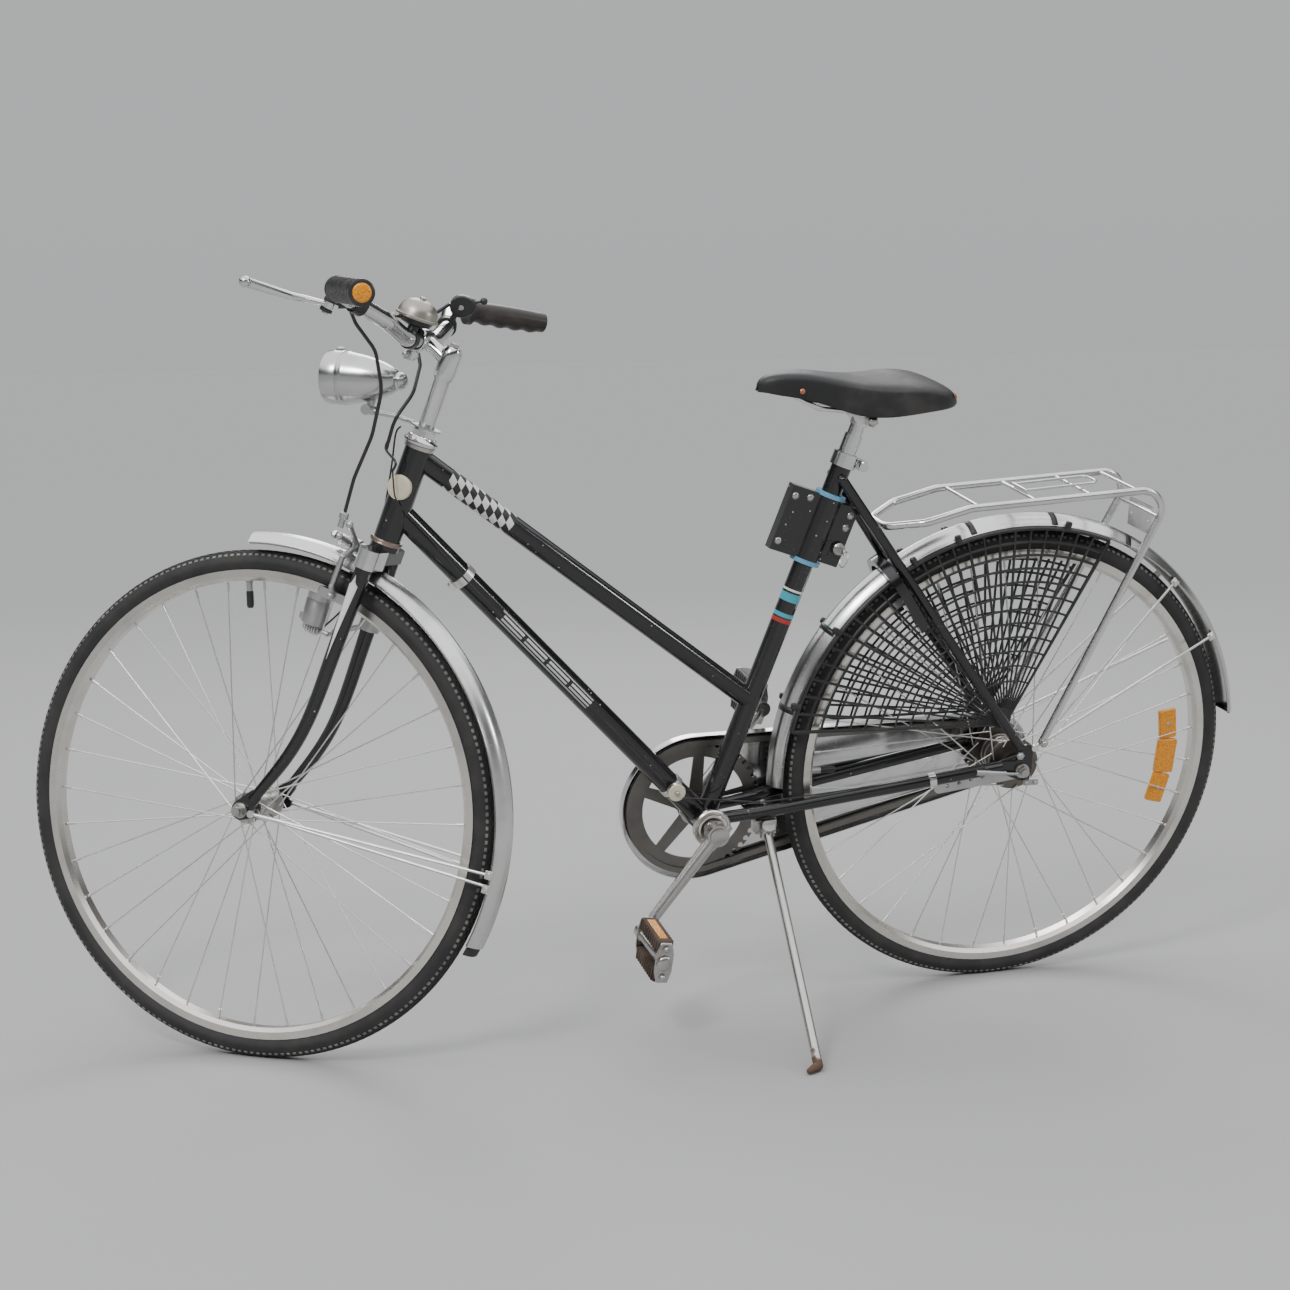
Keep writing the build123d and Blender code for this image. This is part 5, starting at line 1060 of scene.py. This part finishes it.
def lock_fittings():
    """The lock case's pale liner, rivets, key barrel and key."""
    low, high = 396.0, 490.0
    shape = Shape()
    for height in (low - 1.5, high + 1.5):
        shape.lathe(seat.moved(0, 0, height), [(14.6, -3), (21.5, -3), (21.5, 3), (14.6, 3)], 0, 36)
    for x, z in ((-52, low + 14), (-52, high - 14), (-30, high - 10), (34, high - 16), (34, low + 60)):
        flat = -9.2 if x < 0 else -13.2
        shape.lathe(facing(seat.at(x, flat, z), -seat.y), [(5.2, 0), *dome(5.0, 2.6)], 1, 22)
    barrel = facing(seat.at(34, -16.2, low + 30), -seat.y)
    shape.lathe(barrel, [(8.8, 0), (8.8, 3), (7.4, 4.4), (0.01, 4.4)], 1, 28)
    shape.slab(barrel.moved(0, 0, 13), (1.8, 9, 18), 2, 0.5)
    ring = facing(seat.at(34, -45, low + 22), seat.x)
    loop = [ring.at(11 * cos(t), 11 * sin(t), 0) for t in turns(28)]
    shape.tube(loop, 0.9, 2, 8, closed=True)
    shape.piece("lock_fittings", "frame", "black_paint", PALE_BLUE, OLD_CHROME, ZINC)


rack_fittings()
lock_fittings()


# ---- transfers on the tubes

def sleeve(start, end, radius, rows, columns, kind, twist=0.0):
    """A thin skin round a tube whose cells take their finish from a rule of row and column.

    A twist, in radians a row, slants every cell round the tube."""
    place = facing(start, end - start, bike.y)
    length = (end - start).length / MM
    rings = []
    for row in range(rows + 1):
        angles = [turn + twist * row for turn in turns(columns)]
        rings.append([place.at(radius * cos(turn), radius * sin(turn), length * row / rows)
            for turn in angles])
    return Shape().grid(rings, kind, wrap=True)


def transfers():
    """Checks on the top tube, plain stripes on the down tube and bands on the seat tube."""
    checks = sleeve(top_start.lerp(top_end, 0.085), top_start.lerp(top_end, 0.265), 14.42, 30, 64,
                    lambda row, column: (row // 3 + column // 8) % 2, 0.147)
    checks.piece("top_tube_checks", "frame", "black_paint", BLACK_PLASTIC, IVORY)
    stripes = sleeve(down_start.lerp(down_end, 0.31), down_start.lerp(down_end, 0.60), 16.02, 64, 48,
        lambda row, column: 1 if 34 <= column <= 37 and row % 16 > 1 else 2 if column in (32, 39) else 0)
    stripes.piece("down_tube_stripes", "frame", "black_paint", PAINT, IVORY, SILVER)
    bands = ("cyan", 334, 346, CYAN), ("white", 349, 352, IVORY), ("red", 303, 309, RED), ("blue", 311, 317,
        CYAN)
    for name, low, high, finish in bands:
        band = sleeve(seat.at(0, 0, low), seat.at(0, 0, high), 14.42, 2, 40, 0)
        band.piece(f"seat_tube_{name}_band", "frame", "black_paint", finish)
    crest = Shape()
    look = (head_back * -0.62 - side * 0.78).normalized()
    badge = facing(head_point + head_up * 0.078 + look * 0.0184, look, head_up)
    oval = [(k[0] * 16, k[1]) for k in dome(1, 1.4)]
    crest.lathe(badge, [(16.5, -4.6), (16.5, 0.2)] + oval, 0, 36)
    crest.piece("head_badge", "frame", "black_paint", CREAM)


def fork_arrows():
    """Pale arrow panels on the outer face of each fork blade, each under a small chevron."""
    shape = Shape()
    crown, blade, middle = -8.4, 370.6, radians(74)
    for way in (-1, 1):
        rows, tips = [], []
        for step in range(9):
            share = step / 8
            height = -44 - 118 * share
            wide = max(2.0, 46 * (1 - share)) if share > 0.12 else 46 * share / 0.12
            radius = 11.5 - 4 * (crown - height) / blade + 0.22
            y = way * (38 + 11 * (crown - height) / blade)
            angles = [radians(74 + wide * k / 4) for k in range(-4, 5)]
            rows.append([steer.at(-radius * cos(turn), y + way * radius * sin(turn), height)
                for turn in angles])
        for step in range(5):
            height = -31 - 2.4 * step
            wide = radians(7 * step)
            radius = 11.75 - 4 * (crown - height) / blade
            tips.append([steer.at(-radius * cos(middle + bend), way * (38.5 + radius * sin(middle + bend)),
                height) for bend in (-wide, -wide / 2, 0, wide / 2, wide)])
        shape.grid(rows)
        shape.grid(tips)
    shape.piece("fork_arrow_panels", "steering", "black_paint", IVORY, solid=0.15)


transfers()
fork_arrows()


# ---- cables

def cable(name, points, radius):
    Shape().tube(spread(points, 10), radius, 0, 10).piece(name, "steering", "black_plastic", CABLE_SKIN,
        smooth=60)


def loose_cables():
    """The lamp's wire and the gear cable's sleeve into the head tube's guide."""
    guide = head_point - head_back * 0.027 - side * 0.016 + head_up * 0.096
    tail = [steer.at(-34, -24, 128), steer.at(-33, -22, 117), guide + head_up * 0.012, guide]
    cable("gear_cable_tail", tail, 1.7)
    wire = [steer.at(-62, 38, -150), steer.at(-40, 34, -110), steer.at(-20, 30, -50), steer.at(-26, 26, 20),
            steer.at(-34, 16, 90), steer.at(-44, 16, 134), steer.at(-40, 14, 147)]
    cable("lamp_wire", wire, 1.3)


loose_cables()


# ---- floor, light and camera

def studio():
    """A wide pale floor, a soft graded room round it and three broad lights."""
    floor_finish = Finish("studio_floor", (0.36, 0.36, 0.355), 0.75)
    mottle = floor_finish.noise(3) * 0.2
    floor_finish.set({"Base Color": floor_finish.blend(mottle, (0.37, 0.37, 0.365), (0.335, 0.335, 0.33))})
    mesh = bpy.data.meshes.new("studio_floor")
    mesh.from_pydata([(-60, -60, 0), (60, -60, 0), (60, 60, 0), (-60, 60, 0)], [], [(0, 1, 2, 3)])
    mesh.materials.append(floor_finish.material)
    floor = bpy.data.objects.new("studio_floor", mesh)
    bpy.context.scene.collection.objects.link(floor)
    world = bpy.data.worlds.new("soft_room")
    bpy.context.scene.world = world
    world.use_nodes = True
    nodes, links = world.node_tree.nodes, world.node_tree.links
    coordinates, split = nodes.new("ShaderNodeTexCoord"), nodes.new("ShaderNodeSeparateXYZ")
    ramp = nodes.new("ShaderNodeValToRGB")
    links.new(coordinates.outputs["Generated"], split.inputs[0])
    links.new(split.outputs[2], ramp.inputs[0])
    links.new(ramp.outputs[0], nodes["Background"].inputs[0])
    levels = ((0.0, 0.63), (0.14, 0.66), (0.24, 0.05), (0.46, 0.05), (0.56, 2.0), (1.0, 2.3))
    for index, (height, level) in enumerate(levels):
        stop = ramp.color_ramp.elements[index] if index < 2 else ramp.color_ramp.elements.new(height)
        stop.position, stop.color = height, (level, level * 1.01, level * 1.03, 1)
    nodes["Background"].inputs[1].default_value = 0.8
    lights = (("key_light", (-2.4, -2.6, 3.6), 90, 1.0),
              ("fill_light", (3.4, -2.2, 2.0), 22, 0.5),
              ("back_light", (0.8, 3.2, 3.0), 45, 1.6))
    for name, place, power, size in lights:
        light = bpy.data.lights.new(name, "AREA")
        light.energy, light.size = power, size
        lamp = bpy.data.objects.new(name, light)
        lamp.location = place
        lamp.rotation_euler = (Vector((0, 0, 0.5)) - Vector(place)).to_track_quat("-Z", "Y").to_euler()
        bpy.context.scene.collection.objects.link(lamp)


def camera():
    """The camera looks from in front of the bicycle's left side, in its leaning ground frame."""
    level = Matrix.Rotation(-LEAN, 3, "X")
    yaw, pitch, roll = radians(16.34), radians(8.15), -0.0150
    stand = level @ Vector((-1431.2, -3080.1, 966.1))
    forward = Vector((sin(yaw) * cos(pitch), cos(yaw) * cos(pitch), -sin(pitch)))
    right = Vector((cos(yaw), -sin(yaw), 0))
    above = right.cross(forward)
    turned = right * cos(roll) + above * sin(roll)
    above = above * cos(roll) - right * sin(roll)
    axes = [bike.way(*(level @ part)) for part in (turned, above, -forward)]
    lens = bpy.data.cameras.new("camera")
    lens.sensor_width, lens.lens, lens.shift_y = 36.0, 64.09, 0.0093
    view = bpy.data.objects.new("camera", lens)
    bpy.context.scene.collection.objects.link(view)
    view.matrix_world = Matrix.Translation(bike.at(*stand)) @ Matrix(axes).transposed().to_4x4()
    bpy.context.scene.camera = view


studio()
camera()
